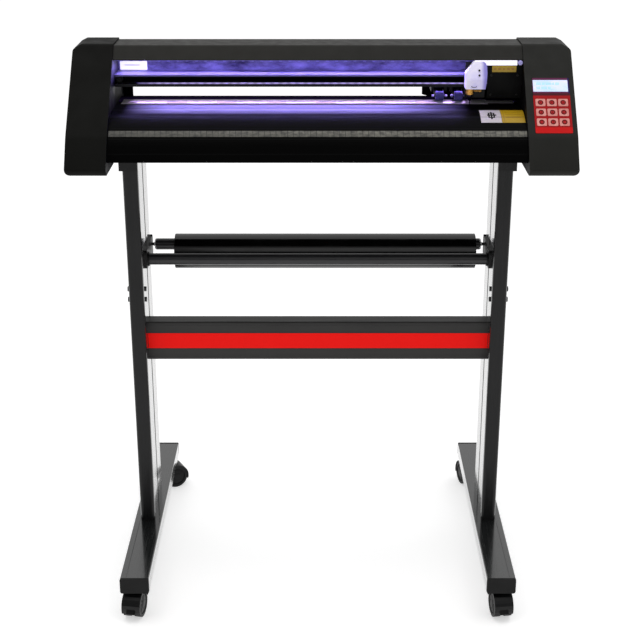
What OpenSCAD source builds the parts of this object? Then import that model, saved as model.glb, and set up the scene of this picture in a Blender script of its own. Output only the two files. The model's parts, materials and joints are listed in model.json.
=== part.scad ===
// Vinyl cutter on a wheeled stand.
// X runs along the cutter, -Y is its front, +Z is up. Origin: floor, middle of the overall box.

/* [Cutter head] */
// Width over both end covers
head_w = 884; // [870:2:900]
// Height of the top of the head above the floor
head_top = 1037; // [1032:1:1038]
// Clear width between the end covers, where the vinyl passes
opening_w = 727; // [725:1:732]
// Height of the platen that the vinyl lies on
platen_z = 930; // [929:0.5:931]
// Wall of the moulded end covers
cover_wall = 3; // [2.5:0.25:3.25]
// Diameter of the drive roller
roller_d = 30; // [28:1:30]
// Diameter of a pinch wheel
pinch_d = 17; // [15:0.5:18]

/* [Control panel] */
// Width of one key
key_w = 17; // [14:0.5:17.5]
// Height of one key
key_h = 14.5; // [12:0.5:15]
// Distance from one key to the next
key_pitch = 19.7; // [19:0.1:20]
// Width of the display window
lcd_w = 61; // [56:1:62]
// Height of the display window
lcd_h = 24; // [20:1:24]

/* [Carriage] */
// Width of the carriage cover
carriage_w = 38; // [38:1:40]
// Place of the parked carriage's middle along X
carriage_x = 273; // [268:1:273]
// Diameter of the brass blade holder collar
collar_d = 14; // [12:0.5:15]

/* [Stand] */
// Distance from leg middle to leg middle
leg_span = 685; // [675:1:687]
// Thickness of a leg, along X
leg_w = 29; // [24:1:30]
// Depth of a leg, along Y
leg_d = 130; // [120:2:136]
// Length of a foot, with its end caps
foot_l = 572; // [560:2:580]
// Width of a foot
foot_w = 54; // [50:1:58]
// Height of a foot's profile
foot_h = 30; // [28:1:32]
// Height of the crossbar's profile
crossbar_h = 78; // [70:1:84]
// Depth of the crossbar's profile
crossbar_d = 35; // [30:1:38]
// Height of the crossbar's middle above the floor
crossbar_z = 466; // [440:1:500]
// Diameter of the two rods that carry a roll
rod_d = 22; // [18:1:24]
// Outer diameter of the roll core
roll_d = 68; // [62:1:70]

/* [Castors] */
// Diameter of a castor wheel
wheel_d = 50; // [46:1:50]
// Distance of the wheel's axle from the swivel axis
castor_trail = 20; // [16:1:20]
// Distance of a swivel axis from the middle of its foot
castor_y = 246; // [236:1:248]

/* [Hidden] */
KEYS = [for (row = [1:3]) for (column = [1:3]) str("key_", row, "_", column)];
CASTORS = ["front_left", "front_right", "rear_left", "rear_right"];

$fn = 48;
gap = 0.3;              // between pieces that don't touch
fit = 0.06;             // radial clearance of a shaft in its bore
corner_steps = 5;       // facets on a rounded corner
slack = 1;              // how far a cutting shape runs past what it cuts

// Along X
head_left = -head_w / 2;
head_right = head_w / 2;
mid_x = -7;             // middle of the opening and of the stand
opening_left = mid_x - opening_w / 2;
opening_right = mid_x + opening_w / 2;
frame_t = 3;            // side frame plates
leg_left = mid_x - leg_span / 2;
leg_right = mid_x + leg_span / 2;

// Heights of the stand
foot_bottom = 58;
foot_top = foot_bottom + foot_h;
head_bottom = head_top - 199;
base_bottom = 846;
leg_top = base_bottom - 3;

// Sloping face of the end covers, from [y, z] at its foot to the top's front corner
slope_foot = [-171, 900];
slope_top = [-39, head_top];
slope = atan2(slope_top[1] - slope_foot[1], slope_top[0] - slope_foot[0]);

// Drive roller, gears and pinch wheels, as [y, z]
roller_at = [-24, platen_z + 2.5 - roller_d / 2];
gear_module = 1;
gear_teeth = 60;
pinion_teeth = 18;
gear_distance = gear_module * (gear_teeth + pinion_teeth) / 2 + 0.12;
pinion_angle = 255;     // direction from the roller's axis to the motor's
pinion_at = roller_at + gear_distance * [cos(pinion_angle), sin(pinion_angle)];
pinch_at = [roller_at[0], platen_z + 2.5 + gap + pinch_d / 2];
pinch_pivot = [3, 951.5];
pinch_w = 14;
pinch_holder_w = 28.6;
pinch_left_x = 213.4;
pinch_right_x = 247.4;

// Carriage beam and belt
beam_front = -50;
beam_rear = 30;
beam_bottom = 962.7;
beam_ledge = 984;
beam_top = 1005;
belt_y = [-41, -35];
belt_z = 974.6;
belt_r = 5.6;           // inside radius of the belt round a pulley
belt_t = 1.3;
drive_x = 336;
idler_x = -362;

// Lamp strip under the cover's lip
lamp_y = [-52, -42];
lamp_z = slope_top[1] - 2.5 + (-58.5 - slope_top[0] - 1.5) * tan(slope) - 1.5;

// Blade holder's axis, as [x, y]
blade_at = [carriage_x - 10.1, -72];
blade_tip = platen_z + 4.5;

// Control panel, in its own axes: x as the cutter's, y up the slope, z out of it
panel_x = [369, 433.5];
panel_y = [7.5, 119];
key_column = 400.6;     // middle column
key_row = 48.8;         // middle row
lcd_at = [400.5, 103];

// Roll holder, as [y, z]
front_rod_at = [-17, 627];
rear_rod_at = [54, 634];
pin_d = 6;              // pins at the rear rod's ends
rod_seat = 4;           // distance of the front rod's ends from the legs
roll_bore = 51;
roll_at = [rear_rod_at[0], rear_rod_at[1] + rod_d / 2 + gap - roll_bore / 2];
roll_x = [-284, 298];

// Castors: how far each is turned from trailing towards the front
castor_turns = [-10, 8, 118, 196];

// ---- Helpers ----

// Box between two opposite corners
module slab(low, high) {
    translate(low) cube(high - low);
}

// Outline [y, z] drawn out along X
module along_x(from, to) {
    translate([from, 0, 0]) rotate([90, 0, 90]) linear_extrude(to - from) children();
}

// Outline [x, z] drawn out along Y
module along_y(from, to) {
    translate([0, to, 0]) rotate([90, 0, 0]) linear_extrude(to - from) children();
}

// Round bar along X, at = [y, z]
module bar_x(from, to, at, d) {
    translate([from, at[0], at[1]]) rotate([0, 90, 0]) cylinder(d = d, h = to - from);
}

// Round bar along Y, at = [x, z]
module bar_y(from, to, at, d) {
    translate([at[0], to, at[1]]) rotate([90, 0, 0]) cylinder(d = d, h = to - from);
}

// Round bar along Z, at = [x, y]
module bar_z(from, to, at, d) {
    translate([at[0], at[1], from]) cylinder(d = d, h = to - from);
}

function flat(p) = [p[0], p[1]];
function unit(v) = v / norm(v);
function turn(from, to) = (to - from + 540) % 360 - 180;

// Arc of points, from one angle to another
function arc(centre, r, from, to, steps = 16) =
    [for (k = [0:steps]) centre + r * [cos(from + (to - from) * k / steps),
                                       sin(from + (to - from) * k / steps)]];

// Points of one corner b between a and c, where b = [x, y, radius]
function corner(a, b, c) =
    b[2] == 0 ? [flat(b)] :
    let (to_a = unit(flat(a) - flat(b)),
         to_c = unit(flat(c) - flat(b)),
         half = acos(to_a * to_c) / 2,
         centre = flat(b) + unit(to_a + to_c) * b[2] / sin(half),
         start = flat(b) + to_a * b[2] / tan(half) - centre,
         end = flat(b) + to_c * b[2] / tan(half) - centre,
         from = atan2(start[1], start[0]),
         sweep = turn(from, atan2(end[1], end[0])))
    arc(centre, b[2], from, from + sweep, corner_steps);

// Outline through corners [x, y, radius], each rounded to its own radius
function rounded(v) =
    [for (i = [0:len(v) - 1]) each corner(v[(i + len(v) - 1) % len(v)], v[i], v[(i + 1) % len(v)])];

// Rectangle with rounded corners, between two opposite corners
function rounded_box(low, high, r) =
    rounded([[low[0], low[1], r], [high[0], low[1], r], [high[0], high[1], r], [low[0], high[1], r]]);

// Places children on the sloping face: x along the cutter, y up the slope, z out of it
module on_slope() {
    translate([0, slope_foot[0], slope_foot[1]]) rotate([slope, 0, 0]) children();
}

// ---- Stand ----

// Foot profile with a shallow groove in its top, near the outer edge
module foot(x, outward) {
    wall = 3;
    groove = 2;
    cap_t = 6;
    half_l = foot_l / 2 - cap_t;
    groove_x = x + outward * (foot_w / 2 - 12);
    color("dimgray") difference() {
        along_y(-half_l, half_l)
            polygon(rounded_box([x - foot_w / 2, foot_bottom], [x + foot_w / 2, foot_top], 2));
        along_y(-half_l - slack, half_l + slack)
            polygon(rounded_box([x - foot_w / 2 + wall, foot_bottom + wall],
                                [x + foot_w / 2 - wall, foot_top - wall], 1));
        slab([groove_x - groove / 2, -half_l - slack, foot_top - 1.2],
             [groove_x + groove / 2, half_l + slack, foot_top + slack]);
        for (y = [-castor_y, castor_y])
            bar_z(foot_bottom - slack, foot_bottom + wall + slack, [x, y], 10 + 2 * fit);
    }
}

module left_foot() foot(leg_left, -1);

module right_foot() foot(leg_right, 1);

module foot_end_caps() {
    cap_t = 6;
    for (x = [leg_left, leg_right])
        for (front = [-1, 1]) {
            outer = front * foot_l / 2;
            inner = outer - front * cap_t;
            plug_end = inner - front * 12;
            color("black") union() {
                along_y(min(outer, inner), max(outer, inner))
                    polygon(rounded([[x - foot_w / 2, foot_bottom, 4], [x + foot_w / 2, foot_bottom, 4],
                                     [x + foot_w / 2, foot_top, 2], [x - foot_w / 2, foot_top, 2]]));
                along_y(min(inner, plug_end), max(inner, plug_end))
                    polygon(rounded_box([x - foot_w / 2 + 3.4, foot_bottom + 3.4],
                                        [x + foot_w / 2 - 3.4, foot_top - 3.4], 1));
            }
        }
}

// Leg extrusion: rounded front and rear edges, a deep groove down each broad face
module leg(x) {
    wall = 2.5;
    groove_w = 9;
    groove_depth = 5;
    web = 4;
    color("dimgray") translate([0, 0, foot_top]) linear_extrude(leg_top - foot_top) difference() {
        polygon(rounded_box([x - leg_w / 2, -leg_d / 2], [x + leg_w / 2, leg_d / 2], 7));
        for (side = [-1, 1])
            translate([x + side * leg_w / 2, 0])
                square([2 * groove_depth, groove_w], center = true);
        for (half = [-1, 1])
            translate([x, half * (leg_d / 4 + groove_w / 4 + web / 4)])
                square([leg_w - 2 * wall, leg_d / 2 - groove_w / 2 - web - 2 * wall], center = true);
    }
}

module left_leg() leg(leg_left);

module right_leg() leg(leg_right);

// Brackets that cap the legs and carry the head
module head_mounts() {
    cheek = 5;
    lip = 3;
    skirt = 34;
    for (outward = [-1, 1]) {
        x = mid_x + outward * leg_span / 2;
        outer = x + outward * leg_w / 2;
        inner = x - outward * leg_w / 2;
        color("black") union() {
            slab([min(inner, outer), -leg_d / 2 - lip, leg_top],
                 [max(inner, outer), leg_d / 2 + lip, base_bottom]);
            slab([min(outer, outer + outward * cheek), -leg_d / 2 - lip, base_bottom - skirt],
                 [max(outer, outer + outward * cheek), leg_d / 2 + lip, base_bottom]);
            for (face = [-1, 1])
                slab([min(inner, outer), min(face * leg_d / 2, face * (leg_d / 2 + lip)),
                      base_bottom - skirt],
                     [max(inner, outer), max(face * leg_d / 2, face * (leg_d / 2 + lip)),
                      leg_top]);
        }
    }
}

module crossbar() {
    front = -35;
    wall = 2.5;
    low = [front, crossbar_z - crossbar_h / 2];
    high = [front + crossbar_d, crossbar_z + crossbar_h / 2];
    color("gray") difference() {
        along_x(leg_left + leg_w / 2, leg_right - leg_w / 2) polygon(rounded_box(low, high, 3));
        along_x(leg_left, leg_right)
            polygon(rounded_box(low + [wall, wall], high - [wall, wall], 2));
    }
}

// Plates on the inner faces of the legs, with a socket for the front rod and a slot for the rear one
module roll_brackets() {
    plate = 5;
    socket_reach = 8;
    for (inward = [-1, 1]) {
        face = mid_x - inward * (leg_span / 2 - leg_w / 2);
        color("black") difference() {
            union() {
                along_x(min(face, face + inward * plate), max(face, face + inward * plate))
                    polygon(rounded([[-36, 612, 8], [64, 612, 8], [64, 652, 5], [-36, 648, 8]]));
                bar_x(min(face, face + inward * socket_reach), max(face, face + inward * socket_reach),
                      front_rod_at, rod_d + 5);
            }
            bar_x(min(face + inward * rod_seat, face + inward * (socket_reach + slack)),
                  max(face + inward * rod_seat, face + inward * (socket_reach + slack)),
                  front_rod_at, rod_d);
            along_x(min(face - inward * slack, face + inward * (plate + slack)),
                    max(face - inward * slack, face + inward * (plate + slack)))
                polygon(concat(arc(rear_rod_at, pin_d / 2 + fit, 180, 360),
                               [rear_rod_at + [pin_d / 2 + 2, 20], rear_rod_at + [-pin_d / 2 - 2, 20]]));
        }
    }
}

// The front rod is plain, the rear one has thin pins that lie in the brackets' slots
module roll_rods() {
    front_end = leg_span / 2 - leg_w / 2 - rod_seat;
    rear_end = 315;
    pin_end = leg_span / 2 - leg_w / 2 - 1;
    color("dimgray") bar_x(mid_x - front_end, mid_x + front_end, front_rod_at, rod_d);
    color("dimgray") union() {
        bar_x(mid_x - rear_end, mid_x + rear_end, rear_rod_at, rod_d);
        bar_x(mid_x - pin_end, mid_x + pin_end, rear_rod_at, pin_d);
    }
}

module media_roll() {
    color("black") difference() {
        bar_x(roll_x[0], roll_x[1], roll_at, roll_d);
        bar_x(roll_x[0] - slack, roll_x[1] + slack, roll_at, roll_bore);
    }
}

// Cap screw heads on the outer faces of the legs, and the nuts of two of them on the inner faces
module stand_bolts() {
    head = 3.5;
    nut = 3;
    through = [[-46, 556], [-46, 577]];
    for (outward = [-1, 1]) {
        face = mid_x + outward * (leg_span / 2 + leg_w / 2);
        for (at = concat(through, [front_rod_at, [-22, 450], [-22, 482]]))
            color("black") difference() {
                bar_x(min(face, face + outward * head), max(face, face + outward * head), at, 10);
                translate([face + outward * 1.5, at[0], at[1]]) rotate([0, outward * 90, 0])
                    cylinder(d = 5.5, h = head, $fn = 6);
            }
        for (at = through)
            color("black")
                translate([face - outward * (leg_w + nut), at[0], at[1]]) rotate([0, outward * 90, 0])
                    cylinder(d = 10, h = nut, $fn = 6);
    }
}

// ---- Castors ----

castor_xy = [for (y = [-castor_y, castor_y]) for (x = [leg_left, leg_right]) [x, y]];

// Castor's own axes: swivel axis at the origin, wheels trailing towards -y, floor at z = 0
module castor_frame(i) {
    translate([castor_xy[i][0], castor_xy[i][1], 0]) rotate([0, 0, castor_turns[i]]) children();
}

// Hood, web between the wheels, and stem that turns in the foot
module castor(i) {
    half_w = 18;
    web_half = 3.5;
    shell = 2.2;
    hood_r = wheel_d / 2 + 3;
    axle = [-castor_trail, wheel_d / 2];
    color("black") castor_frame(i) difference() {
        union() {
            along_x(-half_w, half_w)
                polygon(concat(arc(axle, hood_r, 198, 8), arc(axle, hood_r - shell, 8, 198)));
            along_x(-web_half, web_half)
                polygon(concat(arc(axle, hood_r - shell / 2, 190, 20), [[9, 46], [9, 22], [-30, 15]]));
            difference() {
                union() {
                    bar_z(44, foot_bottom - gap, [0, 0], 22);
                    bar_z(44, foot_bottom + 14, [0, 0], 10);
                }
                bar_x(-half_w, half_w, axle, 2 * (hood_r - shell / 2) - 0.6);
            }
            along_x(-8, 8)
                polygon([axle + [-hood_r + 1, 4], axle + [-hood_r - 4, -6], axle + [-hood_r - 2, -8],
                         axle + [-hood_r + 3, -3]]);
        }
        bar_x(-half_w, half_w, axle, 6 + 2 * fit);
    }
}

// Twin wheels on their common axle
module castor_wheels(i) {
    gap_half = 4.5;
    outer = 16.8;
    axle = [-castor_trail, wheel_d / 2];
    color("black") castor_frame(i) union() {
        bar_x(-outer, outer, axle, 6);
        for (side = [-1, 1])
            difference() {
                bar_x(min(side * gap_half, side * outer), max(side * gap_half, side * outer),
                      axle, wheel_d);
                bar_x(min(side * (outer - 2), side * (outer + slack)),
                      max(side * (outer - 2), side * (outer + slack)), axle, wheel_d - 12);
            }
    }
}

// ---- Head: chassis and covers ----

// Side outline of the end covers
cover_side = rounded([
    [-204, head_bottom, 9], [-204, 850, 4], [slope_foot[0], slope_foot[1], 60],
    [slope_top[0], slope_top[1], 9], [36, head_top, 9], [78, 985, 20], [91, 858, 10],
    [89, head_bottom, 14]]);

// Front outline of an end cover from its rim to its outer face
module cover_front(rim, outer, inset) {
    inward = rim > outer ? 1 : -1;
    offset(delta = -inset) polygon(rounded([
        [rim + inward * 2 * inset, head_bottom, 0], [outer, head_bottom, 12],
        [outer, head_top - 8, 6], [outer + inward * 15, head_top, 8],
        [rim + inward * 2 * inset, head_top, 0]]));
}

// Solid form of an end cover, smaller all round by inset but still reaching past its rim
module cover_form(rim, outer, inset) {
    intersection() {
        along_x(min(rim, outer) - 10, max(rim, outer) + 10)
            offset(delta = -inset) polygon(cover_side);
        along_y(-250, 150) cover_front(rim, outer, inset);
    }
}

module left_end_cover() {
    color("dimgray") difference() {
        cover_form(opening_left, head_left, 0);
        cover_form(opening_left, head_left, cover_wall);
    }
}

module right_end_cover() {
    panel_gap = 0.3;
    color("dimgray") difference() {
        cover_form(opening_right, head_right, 0);
        cover_form(opening_right, head_right, cover_wall);
        on_slope() slab([panel_x[0] - panel_gap, panel_y[0] - panel_gap, -10],
                        [panel_x[1] + panel_gap, panel_y[1] + panel_gap, 10]);
        for (hole = [switch_box, inlet_box, port_box])
            slab([head_right - 10, hole[0][0] - panel_gap, hole[0][1] - panel_gap],
                 [head_right + slack, hole[1][0] + panel_gap, hole[1][1] + panel_gap]);
    }
}

// Steel plates that carry the beam, the roller and the motors, with the covers of the motor bay
module side_frames() {
    inset = cover_wall + gap;
    bay = [296, opening_right];
    rear_cover = [62, 64];
    rear_left = 188;
    rear_low = platen_z - 8;
    rear_high = 989;
    color("black") difference() {
        union() {
            along_x(opening_left - frame_t, opening_left) offset(delta = -inset) polygon(cover_side);
            slab([opening_left - slack, rear_cover[0], rear_low],
                 [opening_left + 17, rear_cover[1], rear_high]);
        }
        bar_x(opening_left - 10, opening_left + 10, roller_at, bearing_d);
    }
    color("black") difference() {
        union() {
            along_x(opening_right, opening_right + frame_t) offset(delta = -inset) polygon(cover_side);
            slab([bay[0], beam_front - 3, 943], [bay[1], beam_front - gap, 1003]);
            along_y(rear_cover[0], rear_cover[1])
                polygon([[rear_left, rear_high], [rear_left, rear_low + 4.5], [rear_left + 15, rear_low],
                         [bay[1] + slack, rear_low], [bay[1] + slack, rear_high]]);
        }
        bar_x(opening_right - 10, opening_right + 10, roller_at, bearing_d);
        bar_x(opening_right - 10, opening_right + 10, pinion_at, 12);
    }
}

// Front apron's arc, from its toe up to the platen
apron_r = 92;
apron_centre = [-95, platen_z - apron_r];
toe_angle = 167.5;
toe_z = apron_centre[1] + apron_r * sin(toe_angle);

// Pressed tray under the head, whose flanges meet both aprons
module chassis_base() {
    sheet = 2.5;
    front = -138;
    rear = 82.5;
    color("black") union() {
        slab([opening_left, front, base_bottom], [opening_right, rear, base_bottom + sheet]);
        slab([opening_left, front, base_bottom], [opening_right, front + sheet, toe_z]);
        slab([opening_left, rear - sheet, base_bottom], [opening_right, rear, 862]);
    }
}

// Curved front extrusion, with the front half of the platen
module front_apron() {
    sheet = 2.5;
    slot = roller_at[0] - 12;
    outer = arc(apron_centre, apron_r, toe_angle, 90, 24);
    toe = outer[0];
    inner_angle = 180 - asin((toe[1] + sheet - apron_centre[1]) / (apron_r - sheet));
    inner = arc(apron_centre, apron_r - sheet, 90, inner_angle, 24);
    color("black") along_x(opening_left + gap, opening_right - gap)
        polygon(concat(
            [[-132, toe[1]]], outer,
            [[slot, platen_z], [slot, platen_z - sheet]],
            inner, [[-132, toe[1] + sheet]]));
}

// Rear extrusion, with the rear half of the platen
module rear_apron() {
    sheet = 2.5;
    slot = roller_at[0] + 12;
    crest = [25, platen_z - 60];
    outer = arc(crest, 60, 90, 0, 20);
    inner = arc(crest, 60 - sheet, 0, 90, 20);
    color("black") along_x(opening_left + gap, opening_right - gap)
        polygon(concat(
            [[slot, platen_z - sheet], [slot, platen_z]], outer,
            [[crest[0] + 60, base_bottom], [crest[0] + 60 - sheet, base_bottom]],
            inner));
}

// Top cover, whose front lip turns back under the slope and holds the lamp strip
module top_cover() {
    drop = 2.5;
    sheet = 3;
    front = slope_top + [1.5, -drop];
    lip_y = -58.5;
    lip_z = front[1] + (lip_y - front[0]) * tan(slope);
    color("dimgray") along_x(opening_left + gap, opening_right - gap)
        polygon(rounded([
            [lip_y, lip_z, 1], [front[0], front[1], 9], [33, head_top - drop, 9],
            [72.5, 985, 1], [69, 984, 1], [31, head_top - drop - sheet, 6],
            [front[0] + 2, head_top - drop - sheet, 6], [lip_y + 6, lip_z + 0.5, 1],
            [lamp_y[1] + 2, lip_z + 0.5, 0], [lamp_y[1] + 2, lip_z - 1.5, 0],
            [lip_y, lip_z - 1.5, 0]]));
}

// Aluminium beam that the carriage rides on: ledge, open channel for the belt, and a closed rear box
module carriage_beam() {
    skin = 2;
    color("darkgray") difference() {
        along_x(opening_left + gap, opening_right - gap) difference() {
            polygon([[beam_front, beam_bottom], [beam_rear, beam_bottom], [beam_rear, beam_top],
                     [0, beam_top], [0, beam_ledge], [beam_front, beam_ledge],
                     [beam_front, beam_ledge - 3], [beam_front + 2, beam_ledge - 1.8],
                     [-14, beam_ledge - 1.8], [-14, beam_bottom + skin],
                     [beam_front + 2, beam_bottom + skin], [beam_front + 2, beam_bottom + 5],
                     [beam_front, beam_bottom + 5]]);
            polygon([[-11, beam_bottom + skin], [beam_rear - skin, beam_bottom + skin],
                     [beam_rear - skin, beam_top - skin], [3, beam_top - skin],
                     [3, beam_ledge - skin], [-11, beam_ledge - skin]]);
        }
        bar_y(beam_front, beam_rear + slack, [drive_x, belt_z], 9);
    }
}

// ---- Head: feed drive ----

bearing_d = 22;
journal_d = 8;

// Polished roller with turned-down ends and journals
module drive_roller() {
    left = opening_left + 4;
    right = opening_right - 4;
    cone = 6;
    color("silver") union() {
        bar_x(left + cone, right - cone, roller_at, roller_d);
        bar_x(opening_left - 8, opening_right + 20, roller_at, journal_d);
        translate([left, roller_at[0], roller_at[1]]) rotate([0, 90, 0])
            cylinder(d1 = 14, d2 = roller_d, h = cone);
        translate([right, roller_at[0], roller_at[1]]) rotate([0, -90, 0])
            cylinder(d1 = 14, d2 = roller_d, h = cone);
    }
}

module roller_bearings() {
    width = 7;
    for (from = [opening_left - frame_t - 3, opening_right - 1])
        color("silver") difference() {
            bar_x(from, from + width, roller_at, bearing_d);
            bar_x(from - slack, from + width + slack, roller_at, journal_d + 2 * fit);
        }
}

// Involute of a base circle, at an unwinding angle
function involute(base, a) =
    base * [cos(a) + a * PI / 180 * sin(a), sin(a) - a * PI / 180 * cos(a)];

function rotated(p, a) = [p[0] * cos(a) - p[1] * sin(a), p[0] * sin(a) + p[1] * cos(a)];

// Spur gear outline, with a tooth's middle at the given angle
module gear_outline(teeth, first) {
    pitch = gear_module * teeth / 2;
    base = pitch * cos(20);
    tip = pitch + 0.9 * gear_module;
    root = pitch - 1.2 * gear_module;
    backlash = 0.2;
    // Unwinding angle at which the involute reaches a radius
    unwind = function (r) r <= base ? 0 : sqrt(pow(r / base, 2) - 1) * 180 / PI;
    at_pitch = involute(base, unwind(pitch));
    half = 90 / teeth - backlash * 90 / (PI * pitch) + atan2(at_pitch[1], at_pitch[0]);
    steps = 3;
    flank = [for (k = [0:steps]) involute(base, unwind(base + (tip - base) * k / steps))];
    polygon([for (i = [0:teeth - 1])
        let (a = first + i * 360 / teeth)
        each concat(
            [rotated([root, 0], a - half)],
            [for (p = flank) rotated(p, a - half)],
            [for (k = [steps:-1:0]) rotated([flank[k][0], -flank[k][1]], a + half)],
            [rotated([root, 0], a + half)])]);
}

// Spur gear on the roller's right journal
module roller_gear() {
    from = opening_right + 8;
    width = 8;
    color("gainsboro") translate([from, roller_at[0], roller_at[1]]) rotate([90, 0, 90])
        difference() {
            linear_extrude(width) gear_outline(gear_teeth, pinion_angle + 180 / gear_teeth);
            translate([0, 0, -slack]) cylinder(d = journal_d, h = width + 2 * slack);
        }
}

// Pinion with its shaft, which ends just clear of the motor's face
module feed_pinion() {
    from = opening_right + 7.5;
    width = 9;
    color("gainsboro") union() {
        translate([from, pinion_at[0], pinion_at[1]]) rotate([90, 0, 90])
            linear_extrude(width) gear_outline(pinion_teeth, pinion_angle + 180);
        bar_x(opening_right + gap, from + width, pinion_at, 5);
    }
}

// Stepping motors of the feed and of the carriage, each with a boss round its shaft
module stepper_motors() {
    feed = 42;
    feed_l = 46;
    carriage = 34;
    carriage_l = 27;
    face = opening_right - 0.2;
    color("dimgray") union() {
        along_x(face - feed_l, face)
            polygon(rounded_box(pinion_at - [feed / 2, feed / 2], pinion_at + [feed / 2, feed / 2], 4));
        bar_x(face - feed_l - 6, face - feed_l, pinion_at, 30);
    }
    color("dimgray") along_y(beam_rear + gap, beam_rear + gap + carriage_l)
        polygon(rounded_box([drive_x - carriage / 2, belt_z - carriage / 2],
                            [drive_x + carriage / 2, belt_z + carriage / 2], 3));
}

// ---- Head: carriage drive ----

module belt_pulley(x) {
    bar_y(belt_y[0] - 0.5, belt_y[1] + 0.5, [x, belt_z], 2 * (belt_r - 0.15));
}

// Drive pulley with the shaft that reaches back through the beam to the motor
module drive_pulley() {
    color("silver") union() {
        belt_pulley(drive_x);
        bar_y(belt_y[0] - 2, beam_rear, [drive_x, belt_z], 5);
    }
}

// Idler pulley with its pin
module idler_pulley() {
    color("silver") union() {
        belt_pulley(idler_x);
        bar_y(belt_y[0] - 2, -14 - gap, [idler_x, belt_z], 4);
    }
}

module carriage_belt() {
    outer = belt_r + belt_t;
    color("black") along_y(belt_y[0], belt_y[1]) difference() {
        polygon(concat(arc([drive_x, belt_z], outer, -90, 90), arc([idler_x, belt_z], outer, 90, 270)));
        polygon(concat(arc([drive_x, belt_z], belt_r, -90, 90),
                       arc([idler_x, belt_z], belt_r, 90, 270)));
    }
}

// Black carriage plate with its shoes above and below the beam and its hold on the belt
module carriage_body() {
    left = carriage_x - 18;
    right = carriage_x + 18;
    plate = [-57.7, -53];
    color("black") difference() {
        union() {
            slab([left, plate[0], 945], [right, plate[1], 1008]);
            slab([left + 3, plate[1], beam_ledge + gap], [right - 3, -22, beam_ledge + 4]);
            slab([left + 3, plate[1], 958], [right - 3, -44, beam_bottom - gap]);
            slab([left + 8, plate[1], 971], [right - 8, -33, belt_z + belt_r - gap]);
            slab([blade_at[0] - 6.8, blade_at[1] - 1, 966], [blade_at[0] + 9, plate[0], 979]);
        }
        bar_z(960, 985, blade_at, 11 + 2 * fit);
    }
}

// White moulded cover: cut-off top left corner, tapered right edge, front leaning back at the top
module carriage_form(inset) {
    left = carriage_x - carriage_w / 2;
    right = carriage_x + carriage_w / 2;
    low = 965.3;
    high = 1010.6;
    intersection() {
        along_y(-100, -40) offset(delta = -inset)
            polygon(rounded([[left, low - 2 * inset, 0], [right - 3, low - 2 * inset, 0],
                             [right, high - 18, 12], [right, high, 9],
                             [left + 15, high, 3], [left, high - 19, 4]]));
        along_x(left - 5, right + 5) offset(delta = -inset)
            polygon(rounded([[-86, low - 2 * inset, 0], [-58 + 2 * inset, low - 2 * inset, 0],
                             [-58 + 2 * inset, high, 0], [-63, high, 3], [-86, 983, 8]]));
    }
}

module carriage_cover() {
    wall = 1.8;
    color("white") difference() {
        carriage_form(0);
        carriage_form(wall);
    }
}

// Blade holder with its knurled brass collar, nose and blade
module blade_holder() {
    color("goldenrod") union() {
        bar_z(950, 980, blade_at, 11);
        bar_z(954.5, 963.5, blade_at, collar_d);
        translate([blade_at[0], blade_at[1], 943]) cylinder(d1 = 6, d2 = 11, h = 7);
        translate([blade_at[0], blade_at[1], blade_tip]) cylinder(d1 = 1, d2 = 2, h = 943 - blade_tip);
    }
}

// Brass thumb screw that clamps the holder
module clamp_screw() {
    from = blade_at[0] + collar_d / 2 + 0.1;
    at = [blade_at[1], 960];
    color("goldenrod") union() {
        bar_x(from, from + 13, at, 3.4);
        bar_x(from + 9, from + 13, at, 5);
    }
}

// ---- Head: pinch rollers ----

// Block that hangs from the beam and slides along it
module pinch_holder(x) {
    left = x - pinch_holder_w / 2;
    right = x + pinch_holder_w / 2;
    color("black") difference() {
        union() {
            slab([left, -12, 946], [right, 24, beam_bottom - gap]);
            slab([left, 24, 958], [right, beam_rear + gap + 4, beam_bottom - gap]);
            slab([left, beam_rear + gap, 958], [right, beam_rear + gap + 4, 985]);
        }
        slab([x - 9.3, -12 - slack, 946 - slack], [x + 9.3, 24 + slack, 957.5]);
        bar_x(left - slack, right + slack, pinch_pivot, 4 + 2 * fit);
    }
}

// Rocker: fork that holds the wheel in front of the pivot, finger lever behind it
module pinch_lever(x) {
    cheek = [pinch_w / 2 + 0.4, pinch_w / 2 + 1.9];
    color("black") difference() {
        union() {
            for (side = [-1, 1])
                hull() {
                    bar_x(x + min(side * cheek[0], side * cheek[1]),
                          x + max(side * cheek[0], side * cheek[1]), pinch_at, 8);
                    bar_x(x + min(side * cheek[0], side * cheek[1]),
                          x + max(side * cheek[0], side * cheek[1]), pinch_pivot, 8);
                }
            bar_x(x - cheek[1], x + cheek[1], pinch_pivot, 8);
            bar_x(x - pinch_holder_w / 2, x + pinch_holder_w / 2, pinch_pivot, 4);
            along_x(x - 6, x + 6)
                polygon([[4, 948], [30, 946], [56, 951], [56, 954], [30, 950], [4, 955]]);
        }
        bar_x(x - cheek[1] - slack, x + cheek[1] + slack, pinch_at, 3 + 2 * fit);
    }
}

// Rubber wheel on its pin
module pinch_wheel(x) {
    color("slategray") union() {
        bar_x(x - pinch_w / 2, x + pinch_w / 2, pinch_at, pinch_d);
        bar_x(x - pinch_w, x + pinch_w, pinch_at, 3);
    }
}

// ---- Head: lamp, panel and electrics ----

// Lamp strip under the front lip of the top cover
module led_strip() {
    color("white") slab([opening_left + 3, lamp_y[0], lamp_z - 2], [opening_right - 3, lamp_y[1], lamp_z]);
}

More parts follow.
